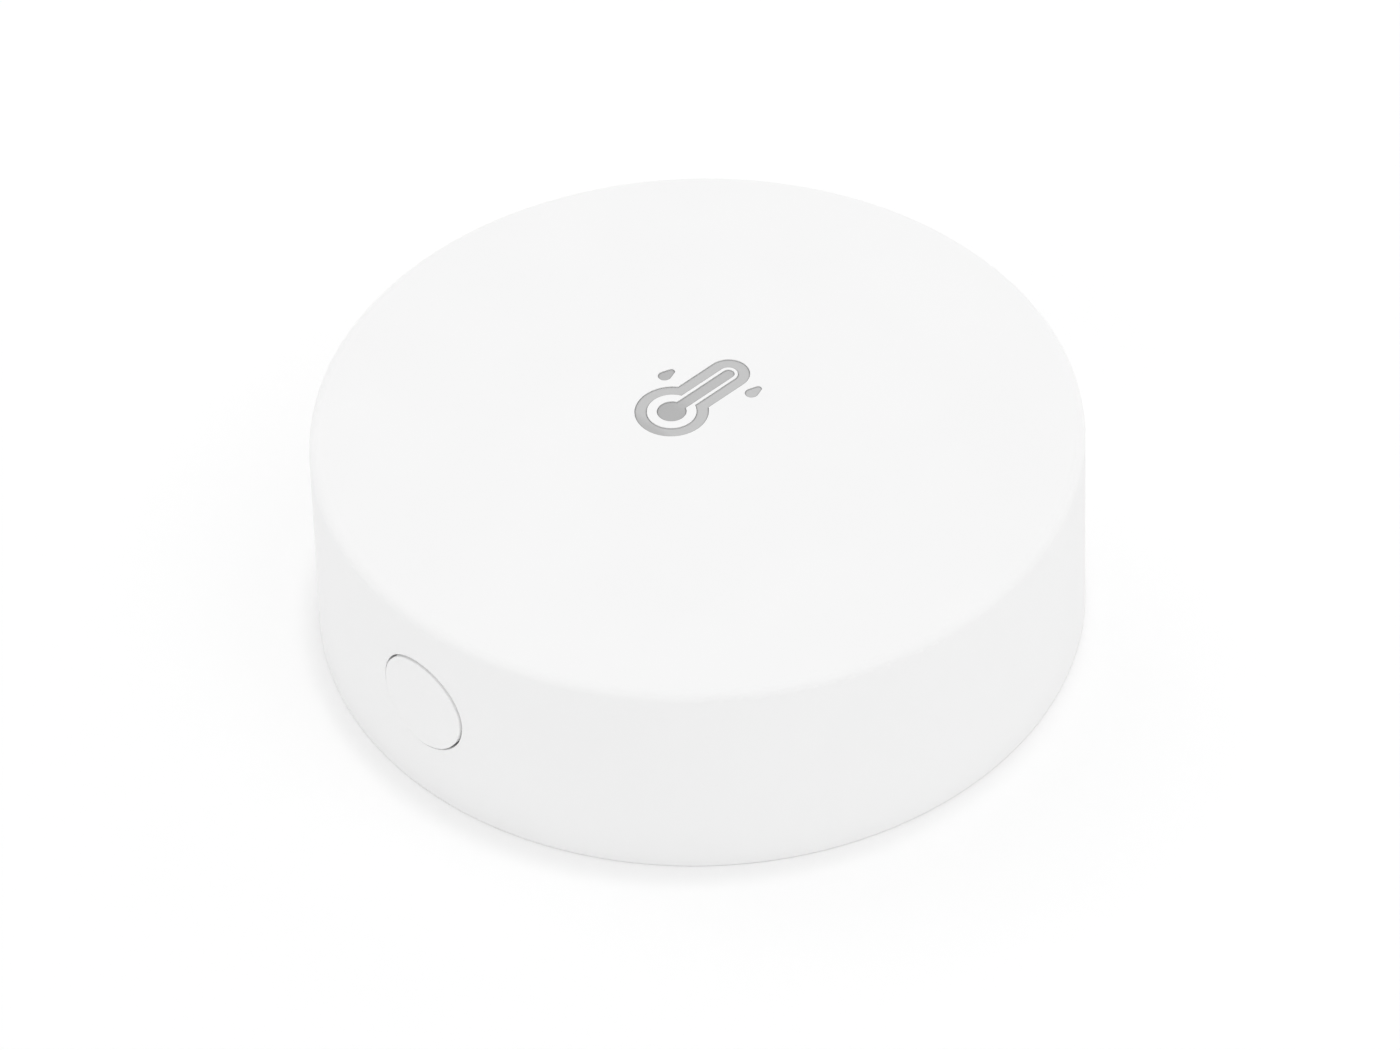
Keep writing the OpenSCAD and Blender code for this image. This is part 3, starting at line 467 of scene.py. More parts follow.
def piece(bm, name, body, finish, replaced=None):
    """Turns the mesh into a piece of the assembly, which may stand for a solid."""
    mesh = bpy.data.meshes.new(name)
    bm.to_mesh(mesh)
    bm.free()
    mesh.shade_smooth()
    mesh.set_sharp_from_angle(angle=SMOOTH_ANGLE)
    mesh.materials.append(finish)
    made = bpy.data.objects.new(name, mesh)
    bpy.context.scene.collection.objects.link(made)
    weights = made.modifiers.new("even_normals", "WEIGHTED_NORMAL")
    weights.keep_sharp = True
    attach(made, body)
    if replaced:
        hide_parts(replaced)
    return made


def on_wall(place):
    """True on the outside of the side wall."""
    return math.hypot(place.x, place.y) > WALL_RADIUS and place.z < WALL_TOP


def on_hole_rim(place):
    """True round the button's hole, on the outside of the wall."""
    across = math.hypot(place.x, place.z - BUTTON_HEIGHT)
    return on_wall(place) and place.y < 0 and abs(across - HOLE_RADIUS) < HOLE_SLACK


def on_vent_rim(place):
    """True round the air slots, on the outside of the wall."""
    return on_wall(place) and place.y > 0 and place.z > VENT_FOOT


def eased_shell():
    """The shell with a slightly lower rim, as the fine line at its foot shows, and eased edges."""
    bm = merged("top_shell")
    rim = [corner for corner in bm.verts if corner.co.z < RIM_TOP * MM]
    bmesh.ops.translate(bm, vec=(0, 0, -RIM_DROP * MM), verts=rim)
    ease(bm, on_hole_rim, HOLE_EASE)
    ease(bm, on_vent_rim, VENT_EASE)
    name = "shell_with_eased_edges"
    piece(bm, name, "housing", shell_plastic, "top_shell")


def on_cap_rim(place):
    """True round the face of the button."""
    return math.hypot(place.x, place.y) > CAP_RADIUS


def eased_button():
    """The button with its outer edge eased."""
    bm = merged("side_button")
    ease(bm, on_cap_rim, CAP_EASE)
    name = "button_with_eased_edge"
    piece(bm, name, "button", button_plastic, "side_button")


def print_with_darker_edge(node, name, finish):
    """A printed form whose ink is darker in a narrow line along its edge."""
    bm = merged(node)
    edge_mark = bm.verts.layers.float.new("dark_ink_edge")
    # Corners on the edge keep 1 and those inside the inset get 0, so the ink darkens towards the edge.
    for corner in bm.verts:
        corner[edge_mark] = 1.0
    top = [face for face in bm.faces if face.normal.z > FACES_UP]
    bmesh.ops.inset_region(
        bm,
        faces=top,
        use_boundary=True,
        use_even_offset=True,
        thickness=INK_EDGE_WIDTH * MM,
    )
    for face in top:
        for corner in face.verts:
            corner[edge_mark] = 0.0
    piece(bm, name, "housing", finish, node)


eased_shell()
eased_button()
print_with_darker_edge("pictogram_outline", "outline_print", outline_ink)
print_with_darker_edge("pictogram_column", "column_print", column_ink)
print_with_darker_edge("pictogram_drops", "drops_print", drops_ink)


# Eased copies of the moulded, pressed and cast solids

FLAT_ANGLE = math.radians(0.5)


def eased_copy(node, name, body, finish, width_mm, steps=2):
    """A copy of the solid with flat faces made whole and every sharp edge rounded."""
    bm = merged(node)
    bmesh.ops.dissolve_limit(
        bm,
        angle_limit=FLAT_ANGLE,
        use_dissolve_boundaries=False,
        verts=bm.verts,
        edges=bm.edges,
    )
    ease(bm, everywhere, width_mm, steps)
    return piece(bm, name, body, finish, node)


def everywhere(place):
    """True of every corner."""
    return True


eased_copy("chassis", "chassis_with_eased_edges", "housing", chassis_plastic, 0.05)
eased_copy("battery_cover", "cover_with_eased_edges", "cover", cover_plastic, 0.07)
eased_copy("radio_chip", "radio_chip_body", "housing", chip_epoxy, 0.03)
eased_copy("memory_chip", "memory_chip_body", "housing", chip_epoxy, 0.03)
eased_copy("climate_sensor", "climate_sensor_body", "housing", sensor_epoxy, 0.03)
eased_copy("switch_terminals", "switch_tabs", "housing", terminal_tin, 0.02)
eased_copy("switch_body", "switch_base", "housing", switch_plastic, 0.03)
eased_copy("switch_bracket", "switch_cover_sheet", "housing", switch_steel, 0.02)
eased_copy("switch_plunger", "switch_plunger_nose", "plunger", plunger_plastic, 0.04)
eased_copy("positive_contacts", "positive_clips", "housing", contact_nickel, 0.02)
eased_copy("negative_contact", "negative_leaf", "housing", contact_nickel, 0.02)


def snap_dome():
    """The switch's spring, an eased copy with a mesh of its own. The real spring flattens towards its feet
    as the plunger presses its crown; this copy keeps its shape.
    """
    dome = eased_copy("switch_dome", "snap_dome", "housing", dome_steel, 0.01)
    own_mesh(dome)


snap_dome()


# Adhesive ring of three layers

RING_INNER = 13.4
RING_OUTER = 15.8
RING_STEPS = 160
FILM_THICKNESS = 0.05
FILM_EASE = 0.01
FOAM_INSET = 0.04
FOAM_EASE = 0.03


def turned_ring(bm, inner_mm, outer_mm, low_mm, high_mm, steps, x_mm=0.0, y_mm=0.0):
    """A ring of rectangular section, turned round an upright line."""
    corners = []
    for radius, height in (
        (inner_mm, low_mm),
        (outer_mm, low_mm),
        (outer_mm, high_mm),
        (inner_mm, high_mm),
    ):
        corners.append(bm.verts.new(Vector((x_mm + radius, y_mm, height)) * MM))
    section = [bm.edges.new((corners[i - 1], corners[i])) for i in range(4)]
    bmesh.ops.spin(
        bm,
        geom=corners + section,
        cent=Vector((x_mm, y_mm, 0)) * MM,
        axis=(0, 0, 1),
        angle=math.tau,
        steps=steps,
        use_merge=True,
    )


def tape_layer(name, finish, inset_mm, low_mm, high_mm, ease_mm):
    """One layer of the adhesive ring."""
    bm = bmesh.new()
    turned_ring(bm, RING_INNER + inset_mm, RING_OUTER - inset_mm, low_mm, high_mm, RING_STEPS)
    bmesh.ops.recalc_face_normals(bm, faces=bm.faces)
    ease(bm, everywhere, ease_mm, 2)
    piece(bm, name, "housing", finish, "adhesive_ring")


tape_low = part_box("adhesive_ring")[0][2] / MM
tape_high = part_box("adhesive_ring")[1][2] / MM
foam_low = tape_low + FILM_THICKNESS
foam_high = tape_high - FILM_THICKNESS
tape_layer("ring_film_below", adhesive_film, 0.0, tape_low, foam_low, FILM_EASE)
tape_layer("ring_film_above", adhesive_film, 0.0, foam_high, tape_high, FILM_EASE)
tape_layer("ring_foam", adhesive_foam, FOAM_INSET, foam_low, foam_high, FOAM_EASE)


# Parts on the circuit board

SOLDER_REACH = 0.16 * MM
SOLDER_CLIMB = 0.6
SOLDER_SLOPE = 0.8
PAD_REACH = 0.28 * MM
PAD_RISE = 0.012 * MM
PAD_SPREAD = 0.04 * MM
CORE_SINK = 0.015 * MM
CORE_EASE = 0.02
END_EASE = 0.035
CAPACITOR_END = 0.26 * MM
RESISTOR_END = 0.22 * MM
INDUCTOR_END = 0.4 * MM
GLAZE_START = 0.26 * MM
GLAZE_DEPTH = 0.04 * MM
GLAZE_EASE = 0.012


def solids_in(node):
    """The lowest and highest corner of each separate solid in a node, from left to right."""
    bm = merged(node)
    left = set(bm.verts)
    found = []
    while left:
        group = [left.pop()]
        for corner in group:
            for edge in corner.link_edges:
                other = edge.other_vert(corner)
                if other in left:
                    left.remove(other)
                    group.append(other)
        low = Vector([min(corner.co[axis] for corner in group) for axis in range(3)])
        high = Vector([max(corner.co[axis] for corner in group) for axis in range(3)])
        found.append((low, high))
    bm.free()
    found.sort(key=lambda box: (round(box[0].x, 6), round(box[0].y, 6)))
    return found


def block(bm, low, high, ease_mm=0.0, steps=2):
    """A block between two corners, with its edges rounded over ease_mm."""
    corners = bmesh.ops.create_cube(bm, size=1.0)["verts"]
    bmesh.ops.scale(bm, vec=high - low, verts=corners)
    bmesh.ops.translate(bm, vec=(low + high) / 2, verts=corners)
    if ease_mm > 0:
        own = set(corners)
        edges = [edge for edge in bm.edges if edge.verts[0] in own]
        round_over(bm, edges, ease_mm, steps)
    return corners


def join(bm, other):
    """Puts the other mesh into bm."""
    shared = bpy.data.meshes.new("shared")
    other.to_mesh(shared)
    other.free()
    bm.from_mesh(shared)
    bpy.data.meshes.remove(shared)


def long_axis(box):
    """0 where a part lies along X, and 1 where it lies along Y."""
    low, high = box
    return 0 if high.x - low.x > high.y - low.y else 1


def length_of(box):
    """The length of a part along its long axis."""
    axis = long_axis(box)
    return box[1][axis] - box[0][axis]


def stretch_of(box, start, end, slim=0.0):
    """The box of a part from start to end along it, slimmed at its sides."""
    axis = long_axis(box)
    low = box[0].copy()
    high = box[1].copy()
    low[1 - axis] += slim
    high[1 - axis] -= slim
    high[axis] = low[axis] + end
    low[axis] += start
    return low, high


def two_ends(box, inwards, outwards=0.0, slim=0.0):
    """The boxes that reach inwards and outwards from the two ends of a part."""
    length = length_of(box)
    first = stretch_of(box, -outwards, inwards, slim)
    last = stretch_of(box, length - inwards, length + outwards, slim)
    return first, last


def solder(bm, box, slim=0.0):
    """Solder that climbs from the pads up the ends of a part."""
    axis = long_axis(box)
    middle = (box[0][axis] + box[1][axis]) / 2
    for low, high in two_ends(box, 0.0, SOLDER_REACH, slim):
        side = 1 if low[axis] > middle else -1
        high.z = low.z + SOLDER_CLIMB * (high.z - low.z)
        for corner in block(bm, low, high):
            outside = side * (corner.co[axis] - middle) > length_of(box) / 2 + SOLDER_REACH / 2
            if outside and corner.co.z > low.z + PAD_RISE:
                corner.co[axis] -= SOLDER_SLOPE * side * SOLDER_REACH


def pads(bm, box, slim=0.0):
    """Tinned copper on the board under the ends of a part."""
    for low, high in two_ends(box, PAD_REACH, PAD_REACH, slim):
        high.z = low.z + PAD_RISE
        block(bm, low, high)


def chip_parts(node, name, finish, cap):
    """Small two-ended parts: fired cores with tinned ends that are cap long."""
    cores = bmesh.new()
    ends = bmesh.new()
    for box in solids_in(node):
        low, high = stretch_of(box, cap / 4, length_of(box) - cap / 4, CORE_SINK)
        low.z += PAD_RISE
        high.z -= CORE_SINK
        block(cores, low, high, CORE_EASE)
        for low, high in two_ends(box, cap):
            block(ends, low, high, END_EASE, steps=3)
        solder(joints, box)
        pads(copper, box, slim=-PAD_SPREAD)
    piece(cores, name + "_cores", "housing", finish, node)
    piece(ends, name + "_ends", "housing", terminal_tin, node)


def resistor_glaze():
    """Black glass over the resistors' tracks, between their ends."""
    bm = bmesh.new()
    for box in solids_in("chip_resistors"):
        low, high = stretch_of(box, GLAZE_START, length_of(box) - GLAZE_START, GLAZE_DEPTH)
        low.z = high.z - GLAZE_DEPTH
        block(bm, low, high, GLAZE_EASE)
    piece(bm, "resistor_glaze", "housing", resistor_glass, "chip_resistors")


BELT_SHARE = 0.45
BELT_SLACK = 0.01 * MM
CAST_INSET = 0.1 * MM
CAST_TAPER = 0.06 * MM
CAST_EASE = 0.03
TAB_LENGTH = 0.6 * MM
TAB_SLIM = 0.2 * MM
TAB_THICKNESS = 0.1 * MM
RISER_THICKNESS = 0.12 * MM
RISER_SLIM = 0.21 * MM
RISER_START = 0.03 * MM
BAR_START = 0.3 * MM
BAR_END = 0.75 * MM
BAR_SLIM = 0.1 * MM
BAR_DEPTH = 0.05 * MM
BAR_RISE = 0.015 * MM
SHEET_EASE = 0.02


def tantalum_parts():
    """Moulded bodies that taper from a belt, with tabs at their ends and a bar at the plus end."""
    bodies = bmesh.new()
    tabs = bmesh.new()
    bars = bmesh.new()
    boxes = solids_in("bulk_capacitors")
    belt = boxes[0][0].z + BELT_SHARE * (boxes[0][1].z - boxes[0][0].z)
    for box in boxes:
        low, high = stretch_of(box, CAST_INSET, length_of(box) - CAST_INSET)
        low.z += CAST_INSET
        own = bmesh.new()
        block(own, low, high)
        everything = own.verts[:] + own.edges[:] + own.faces[:]
        bmesh.ops.bisect_plane(own, geom=everything, plane_co=(0, 0, belt), plane_no=(0, 0, 1))
        middle = (low + high) / 2
        for corner in own.verts:
            if abs(corner.co.z - belt) > BELT_SLACK:
                corner.co.x += CAST_TAPER * (1 if corner.co.x < middle.x else -1)
                corner.co.y += CAST_TAPER * (1 if corner.co.y < middle.y else -1)
        round_over(own, own.edges[:], CAST_EASE, steps=2)
        join(bodies, own)
        for low, high in two_ends(box, TAB_LENGTH, slim=TAB_SLIM):
            high.z = low.z + TAB_THICKNESS
            block(tabs, low, high, SHEET_EASE)
        for low, high in two_ends(box, RISER_THICKNESS, slim=RISER_SLIM):
            low.z += RISER_START
            high.z = belt
            block(tabs, low, high, SHEET_EASE)
        low, high = stretch_of(box, BAR_START, BAR_END, BAR_SLIM)
        low.z = high.z - BAR_DEPTH
        high.z += BAR_RISE
        block(bars, low, high, SHEET_EASE)
        solder(joints, box, slim=TAB_SLIM)
        pads(copper, box, slim=TAB_SLIM / 2)
    piece(bodies, "tantalum_bodies", "housing", tantalum_epoxy, "bulk_capacitors")
    piece(bars, "tantalum_plus_bars", "housing", tantalum_bar, "bulk_capacitors")
    piece(tabs, "tantalum_tabs", "housing", terminal_tin, "bulk_capacitors")


LID_START = 2 / 3
LID_INSET = 1 / 4
LID_EASE = 0.05
BASE_EASE = 0.04
FOOT = Vector((0.9, 0.6, 0.25)) * MM
FOOT_SPREAD = Vector((0.01, 0.01, 0)) * MM


def crystal_parts():
    """Ceramic bases with gold corners, and lids seamed on top of them."""
    bases = bmesh.new()
    lids = bmesh.new()
    feet = bmesh.new()
    for low, high in solids_in("crystals"):
        rise = high.z - low.z
        top = high.copy()
        top.z = low.z + LID_START * rise
        block(bases, low + Vector((0, 0, PAD_RISE)), top, BASE_EASE)
        edge = Vector((LID_INSET * rise, LID_INSET * rise, 0))
        block(lids, Vector((low.x, low.y, top.z)) + edge, high - edge, LID_EASE, steps=3)
        for x in (low.x, high.x - FOOT.x):
            for y in (low.y, high.y - FOOT.y):
                foot_low = Vector((x, y, low.z))
                block(feet, foot_low - FOOT_SPREAD, foot_low + FOOT + FOOT_SPREAD, SHEET_EASE)
    piece(bases, "crystal_bases", "housing", crystal_ceramic, "crystals")
    piece(lids, "crystal_lids", "housing", crystal_can, "crystals")
    piece(feet, "crystal_feet", "housing", pad_gold, "crystals")


LIGHT_STEP = 0.3 * MM
LIGHT_END = 0.26 * MM
LIGHT_PLATING = 0.01 * MM
LENS_EASE = 0.12


def status_light():
    """White base with gold ends, and a clear lens with rounded shoulders."""
    box = solids_in("status_led")[0]
    low, high = box
    base = bmesh.new()
    ends = bmesh.new()
    lens = bmesh.new()
    step = low.z + LIGHT_STEP
    block(base, low + Vector((0, 0, PAD_RISE)), Vector((high.x, high.y, step)), SHEET_EASE)
    for end_low, end_high in two_ends(box, LIGHT_END, LIGHT_PLATING, slim=-LIGHT_PLATING):
        end_high.z = step + LIGHT_PLATING
        block(ends, end_low, end_high, SHEET_EASE)
    lens_start = LIGHT_END + LIGHT_PLATING
    lens_low, lens_high = stretch_of(box, lens_start, length_of(box) - lens_start, LIGHT_PLATING)
    lens_low.z = step
    block(lens, lens_low, lens_high, LENS_EASE, steps=4)
    pads(copper, box, slim=-PAD_SPREAD / 2)
    piece(base, "light_base", "housing", led_ceramic, "status_led")
    piece(ends, "light_ends", "housing", pad_gold, "status_led")
    piece(lens, "light_lens", "housing", led_lens, "status_led")


# How far a land and its pad reach under and out of a chip, half their width, and their height

LAND_UNDER = 0.35
LAND_REACH = 0.012
LAND_HALF = 0.12
LAND_HEIGHT = 0.2
LAND_PAD_REACH = 0.25
LAND_PAD_HALF = 0.14
LAND_PAD_HEIGHT = 0.012


def terminal_rows(node, count, pitch_mm, sides):
    """Tinned lands along the sides of a flat chip, each with its pad on the board."""
    shapes = (
        (lands, LAND_REACH, LAND_HALF, LAND_HEIGHT),
        (copper, LAND_PAD_REACH, LAND_PAD_HALF, LAND_PAD_HEIGHT),
    )
    low, high = solids_in(node)[0]
    middle = (low + high) / 2
    for side in sides:
        across = 0 if side in ("left", "right") else 1
        outward = -1 if side in ("left", "front") else 1
        face = low[across] if outward < 0 else high[across]
        for i in range(count):
            place = middle[1 - across] + (i - (count - 1) / 2) * pitch_mm * MM
            for bm, reach, half, height in shapes:
                ends = sorted((face - outward * LAND_UNDER * MM, face + outward * reach * MM))
                land_low = Vector((0, 0, low.z))
                land_high = Vector((0, 0, low.z + height * MM))
                land_low[across], land_high[across] = ends
                land_low[1 - across] = place - half * MM
                land_high[1 - across] = place + half * MM
                block(bm, land_low, land_high)


# Tracks, holes and marks on top of the board. Neighbours differ in height, so that they share no plane.

BOARD_TOP = 5.75
TRACK_WIDTH = 0.16
FEED_WIDTH = 0.48
TRACK_RISE = 0.008
TRACK_STEP = 0.0007
TRACK_OVERLAP = 0.9
HOLE_INNER = 0.1
HOLE_OUTER = 0.22
HOLE_RISE = 0.011
HOLE_STEPS = 14
RIM_HOLES = 30
RIM_HOLES_RADIUS = 15.3
ANTENNA_SIDE = -8.0
SENSOR_FRONT = 12.0
SENSOR_HALF = 4.0
BUTTON_BACK = -12.0
BUTTON_HALF = 6.0
TRACKS = (
    ((-0.3, -0.27), (0.9, -0.27)),
    ((-0.3, 1.23), (0.6, 1.23), (0.9, 1.5)),
    ((-0.3, -1.27), (0.9, -1.27)),
    ((-0.3, 2.73), (0.3, 2.73), (0.52, 2.95), (1.5, 2.95), (1.75, 2.7), (2.1, 2.7)),
    ((-1.27, 3.7), (-1.27, 3.85), (-1.0, 4.12), (0.88, 4.12), (1.3, 3.7), (2.1, 3.7)),
    ((-1.77, 3.7), (-1.77, 3.98), (-1.3, 4.45), (1.1, 4.45), (1.35, 4.7), (2.1, 4.7)),
    ((2.1, 1.7), (1.85, 1.7), (1.65, 1.5), (1.65, 0.6)),
    ((7.5, 4.7), (8.0, 4.7), (8.45, 5.15), (8.97, 5.15)),
    ((7.5, 3.7), (8.25, 3.7), (8.4, 3.85), (8.97, 3.85)),
    ((7.5, 2.7), (8.05, 2.7), (8.5, 3.15), (8.97, 3.15)),
    ((7.5, 1.7), (8.3, 1.7), (8.5, 1.9), (8.97, 1.9)),
    ((-3.04, 8.9), (-3.04, 6.6), (-3.5, 6.14), (-3.5, 5.3)),
    ((-1.24, 8.9), (-1.24, 7.0), (-1.9, 6.34), (-1.9, 5.3)),
    ((0.56, 8.9), (0.56, 6.4), (-0.3, 5.54), (-0.3, 5.2)),
    ((2.36, 8.9), (2.36, 7.6), (1.7, 6.94), (1.7, 5.9)),
    ((4.16, 8.9), (4.16, 6.8)),
    ((5.96, 8.9), (5.96, 7.4), (5.77, 7.21), (5.77, 5.9)),
    ((-1.45, 13.89), (-1.7, 13.64), (-1.7, 12.5), (-2.2, 12.0), (-2.2, 10.5)),
    ((-1.45, 14.44), (-1.95, 13.94), (-1.95, 12.7), (-2.9, 11.75), (-2.9, 10.9)),
    ((1.45, 13.89), (1.65, 13.69), (1.65, 12.6), (0.95, 11.9), (0.95, 11.3)),
    ((1.45, 14.44), (1.9, 13.99), (1.9, 12.45), (2.3, 12.05), (2.3, 11.21), (2.9, 11.21)),
    ((-6.75, 1.23), (-7.4, 1.23), (-7.77, 1.6), (-8.25, 1.6)),
    ((-6.75, -0.27), (-7.5, -0.27), (-7.83, -0.6), (-8.25, -0.6)),
    ((-8.65, -3.1), (-8.65, -2.75), (-7.67, -1.77), (-6.75, -1.77)),
    ((-8.65, -4.45), (-8.65, -4.9), (-9.45, -5.7), (-9.45, -6.2)),
    ((-5.77, -2.75), (-5.77, -3.22), (-6.3, -3.75), (-6.3, -4.1)),
    ((-4.77, -2.75), (-4.77, -3.28), (-4.3, -3.75), (-4.3, -4.1)),
    ((-1.77, -2.75), (-1.77, -3.13), (-1.6, -3.3), (-1.6, -3.7)),
    ((1.6, -12.3), (1.6, -11.5), (2.5, -10.6)),
    ((-1.6, -12.3), (-1.6, -11.5), (-2.4, -10.7)),
    ((3.85, -10.57), (4.4, -10.57), (4.8, -10.17), (4.8, -5.5), (5.4, -4.9)),
    ((2.5, -9.2), (2.5, -8.3)),
    ((7.4, -4.81), (8.3, -4.81), (8.97, -4.14), (8.97, -0.1)),
    ((4.15, 0.32), (3.2, 0.32), (2.4, -0.48)),
    ((5.5, 0.32), (6.4, 0.32), (7.0, -0.28)),
    ((7.4, 6.73), (8.4, 6.73), (9.2, 5.93)),
)
FEEDS = (
    ((-1.6, -6.0), (-1.6, -7.5), (-1.2, -7.9)),
    ((1.6, -3.4), (1.6, -2.9), (1.0, -2.3)),
)
SMALL_HOLES = (
    (1.65, 0.45), (1.7, 5.75), (5.77, 5.75), (-2.2, 10.35), (-2.9, 10.75), (2.4, -0.6),
    (7.0, -0.4), (9.3, 5.83), (-7.4, 2.73), (-7.9, 2.3), (-6.9, 4.0), (0.0, -3.0),
    (3.4, -2.2), (4.6, -1.4), (5.8, -2.6), (3.6, -6.8), (6.4, -8.6), (8.8, -7.4),
    (-4.6, -8.2), (-5.9, -9.4), (-3.3, -7.4), (-6.4, 7.2), (-5.0, 8.4), (-7.2, 9.6),
    (8.2, 8.6), (9.6, 7.4), (11.2, 3.4), (11.8, -3.0), (-5.2, 11.6), (5.6, 12.0),
)


def track(bm, points, width_mm):
    """A copper track on the board, bent at its points, under the green lacquer."""
    for i in range(len(points) - 1):
        start = Vector((*points[i], 0))
        end = Vector((*points[i + 1], 0))
        run = end - start
        rise = TRACK_RISE + TRACK_STEP * (i % 2)
        size = Vector((run.length + TRACK_OVERLAP * width_mm, width_mm, rise)) * MM
        corners = bmesh.ops.create_cube(bm, size=1.0)["verts"]
        bmesh.ops.scale(bm, vec=size, verts=corners)
        turn = Quaternion((0, 0, 1), math.atan2(run.y, run.x)).to_matrix()
        bmesh.ops.rotate(bm, cent=(0, 0, 0), matrix=turn, verts=corners)
        middle = (start + end) / 2 + Vector((0, 0, BOARD_TOP + rise / 2))
        bmesh.ops.translate(bm, vec=middle * MM, verts=corners)


def board_copper():
    """Tracks, and the lacquered rings of plated holes, some of them along the rim."""
    bm = bmesh.new()
    for points in TRACKS:
        track(bm, points, TRACK_WIDTH)
    for points in FEEDS:
        track(bm, points, FEED_WIDTH)
    holes = list(SMALL_HOLES)
    for step in range(RIM_HOLES):
        angle = math.tau * step / RIM_HOLES
        x = RIM_HOLES_RADIUS * math.cos(angle)
        y = RIM_HOLES_RADIUS * math.sin(angle)
        beside_antenna = x < ANTENNA_SIDE
        beside_sensor = y > SENSOR_FRONT and abs(x) < SENSOR_HALF
        beside_button = y < BUTTON_BACK and abs(x) < BUTTON_HALF
        if not (beside_antenna or beside_sensor or beside_button):
            holes.append((x, y))
    for x, y in holes:
        turned_ring(bm, HOLE_INNER, HOLE_OUTER, BOARD_TOP, BOARD_TOP + HOLE_RISE, HOLE_STEPS, x, y)
    bmesh.ops.recalc_face_normals(bm, faces=bm.faces)
    piece(bm, "board_tracks", "housing", covered_copper)


MARK_LINE = 0.12 * MM
MARK_GAP = 0.3 * MM
MARK_RISE = 0.006
MARK_STEP = 1.1
DOT_INNER = 0.02
DOT_OUTER = 0.14
DOT_ASIDE = 0.65
DOT_BEHIND = 0.3
DOT_STEPS = 16


def corner_marks(bm, node, reach_mm):
    """White printed corners round a chip, with a dot at its first lead."""
    low, high = solids_in(node)[0]
    rise = Vector((0, 0, MARK_RISE)) * MM
    for across in (-1, 1):
        for along in (-1, 1):
            x = low.x - MARK_GAP if across < 0 else high.x + MARK_GAP
            y = low.y - MARK_GAP if along < 0 else high.y + MARK_GAP
            corner = Vector((x, y, low.z))
            flat_end = corner + Vector((-across * reach_mm * MM, -along * MARK_LINE, 0))
            tall_end = corner + Vector((-across * MARK_LINE, -along * reach_mm * MM, 0))
            for end, lift in ((flat_end, rise), (tall_end, MARK_STEP * rise)):
                start_low = Vector((min(corner.x, end.x), min(corner.y, end.y), low.z))
                end_high = Vector((max(corner.x, end.x), max(corner.y, end.y), low.z)) + lift
                block(bm, start_low, end_high)
    dot_x = low.x / MM - DOT_ASIDE
    dot_y = high.y / MM + DOT_BEHIND
    turned_ring(bm, DOT_INNER, DOT_OUTER, BOARD_TOP, BOARD_TOP + MARK_RISE, DOT_STEPS, dot_x, dot_y)


def printed_marks():
    """The board's white print, without words."""
    bm = bmesh.new()
    corner_marks(bm, "radio_chip", reach_mm=0.45)
    corner_marks(bm, "memory_chip", reach_mm=0.5)
    bmesh.ops.recalc_face_normals(bm, faces=bm.faces)
    piece(bm, "board_marks", "housing", board_print)


PLUS_HALF = 1.5
PLUS_LINE_HALF = 0.22
PLUS_RISE = 0.02
PLUS_STEP = 0.001
PLUS_ROOT = 0.01
PLUS_EASE = 0.008


def plus_mark():
    """The raised cross on the can that shows the cell's plus side."""
    bm = bmesh.new()
    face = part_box("cell_can")[0][2]
    for half_x, half_y, rise in (
        (PLUS_HALF, PLUS_LINE_HALF, PLUS_RISE),
        (PLUS_LINE_HALF, PLUS_HALF, PLUS_RISE - PLUS_STEP),
    ):
        low = Vector((-half_x * MM, -half_y * MM, face - rise * MM))
        high = Vector((half_x * MM, half_y * MM, face + PLUS_ROOT * MM))
        block(bm, low, high, PLUS_EASE)
    piece(bm, "cell_plus", "housing", cell_steel)


copper = bmesh.new()
joints = bmesh.new()
lands = bmesh.new()
chip_parts("chip_capacitors", "capacitor", capacitor_ceramic, CAPACITOR_END)
chip_parts("chip_resistors", "resistor", resistor_ceramic, RESISTOR_END)
chip_parts("chip_inductors", "inductor", inductor_ferrite, INDUCTOR_END)
resistor_glaze()
tantalum_parts()
crystal_parts()
status_light()
terminal_rows("radio_chip", count=10, pitch_mm=0.5, sides=("left", "right", "front", "back"))
terminal_rows("memory_chip", count=4, pitch_mm=1.0, sides=("left", "right"))
terminal_rows("climate_sensor", count=4, pitch_mm=0.55, sides=("left", "right"))
piece(copper, "tinned_pads", "housing", terminal_tin)
piece(joints, "solder_joints", "housing", terminal_tin)
piece(lands, "chip_lands", "housing", terminal_tin)
board_copper()
printed_marks()
plus_mark()


# Table, lamps and camera. Distances are in metres, angles in degrees and the lens in millimetres.

TABLE_SIZE = 3.0
WALL_LEVEL = 1.24
CEILING_LEVEL = 0.60
ABOVE_LEVEL = 0.10
KEY_LEVEL = 0.08
FILL_LEVEL = 0.065
TABLE_SHADE = 0.93
TABLE_LIFT = 0.06
LIFT_IN_MIRRORS = 0.3


def seen_directly(tree, reflected=1.0):
    """1 for rays from the eye, reflected for those off or through a surface, and 0 for plain light."""
    path = tree.nodes.new("ShaderNodeLightPath")
    either = math_node(tree, "MAXIMUM", path.outputs["Is Glossy Ray"], path.outputs["Is Transmission Ray"])
    share = math_node(tree, "MULTIPLY", either)
    share.node.inputs[1].default_value = reflected
    return math_node(tree, "MAXIMUM", share, path.outputs["Is Camera Ray"])


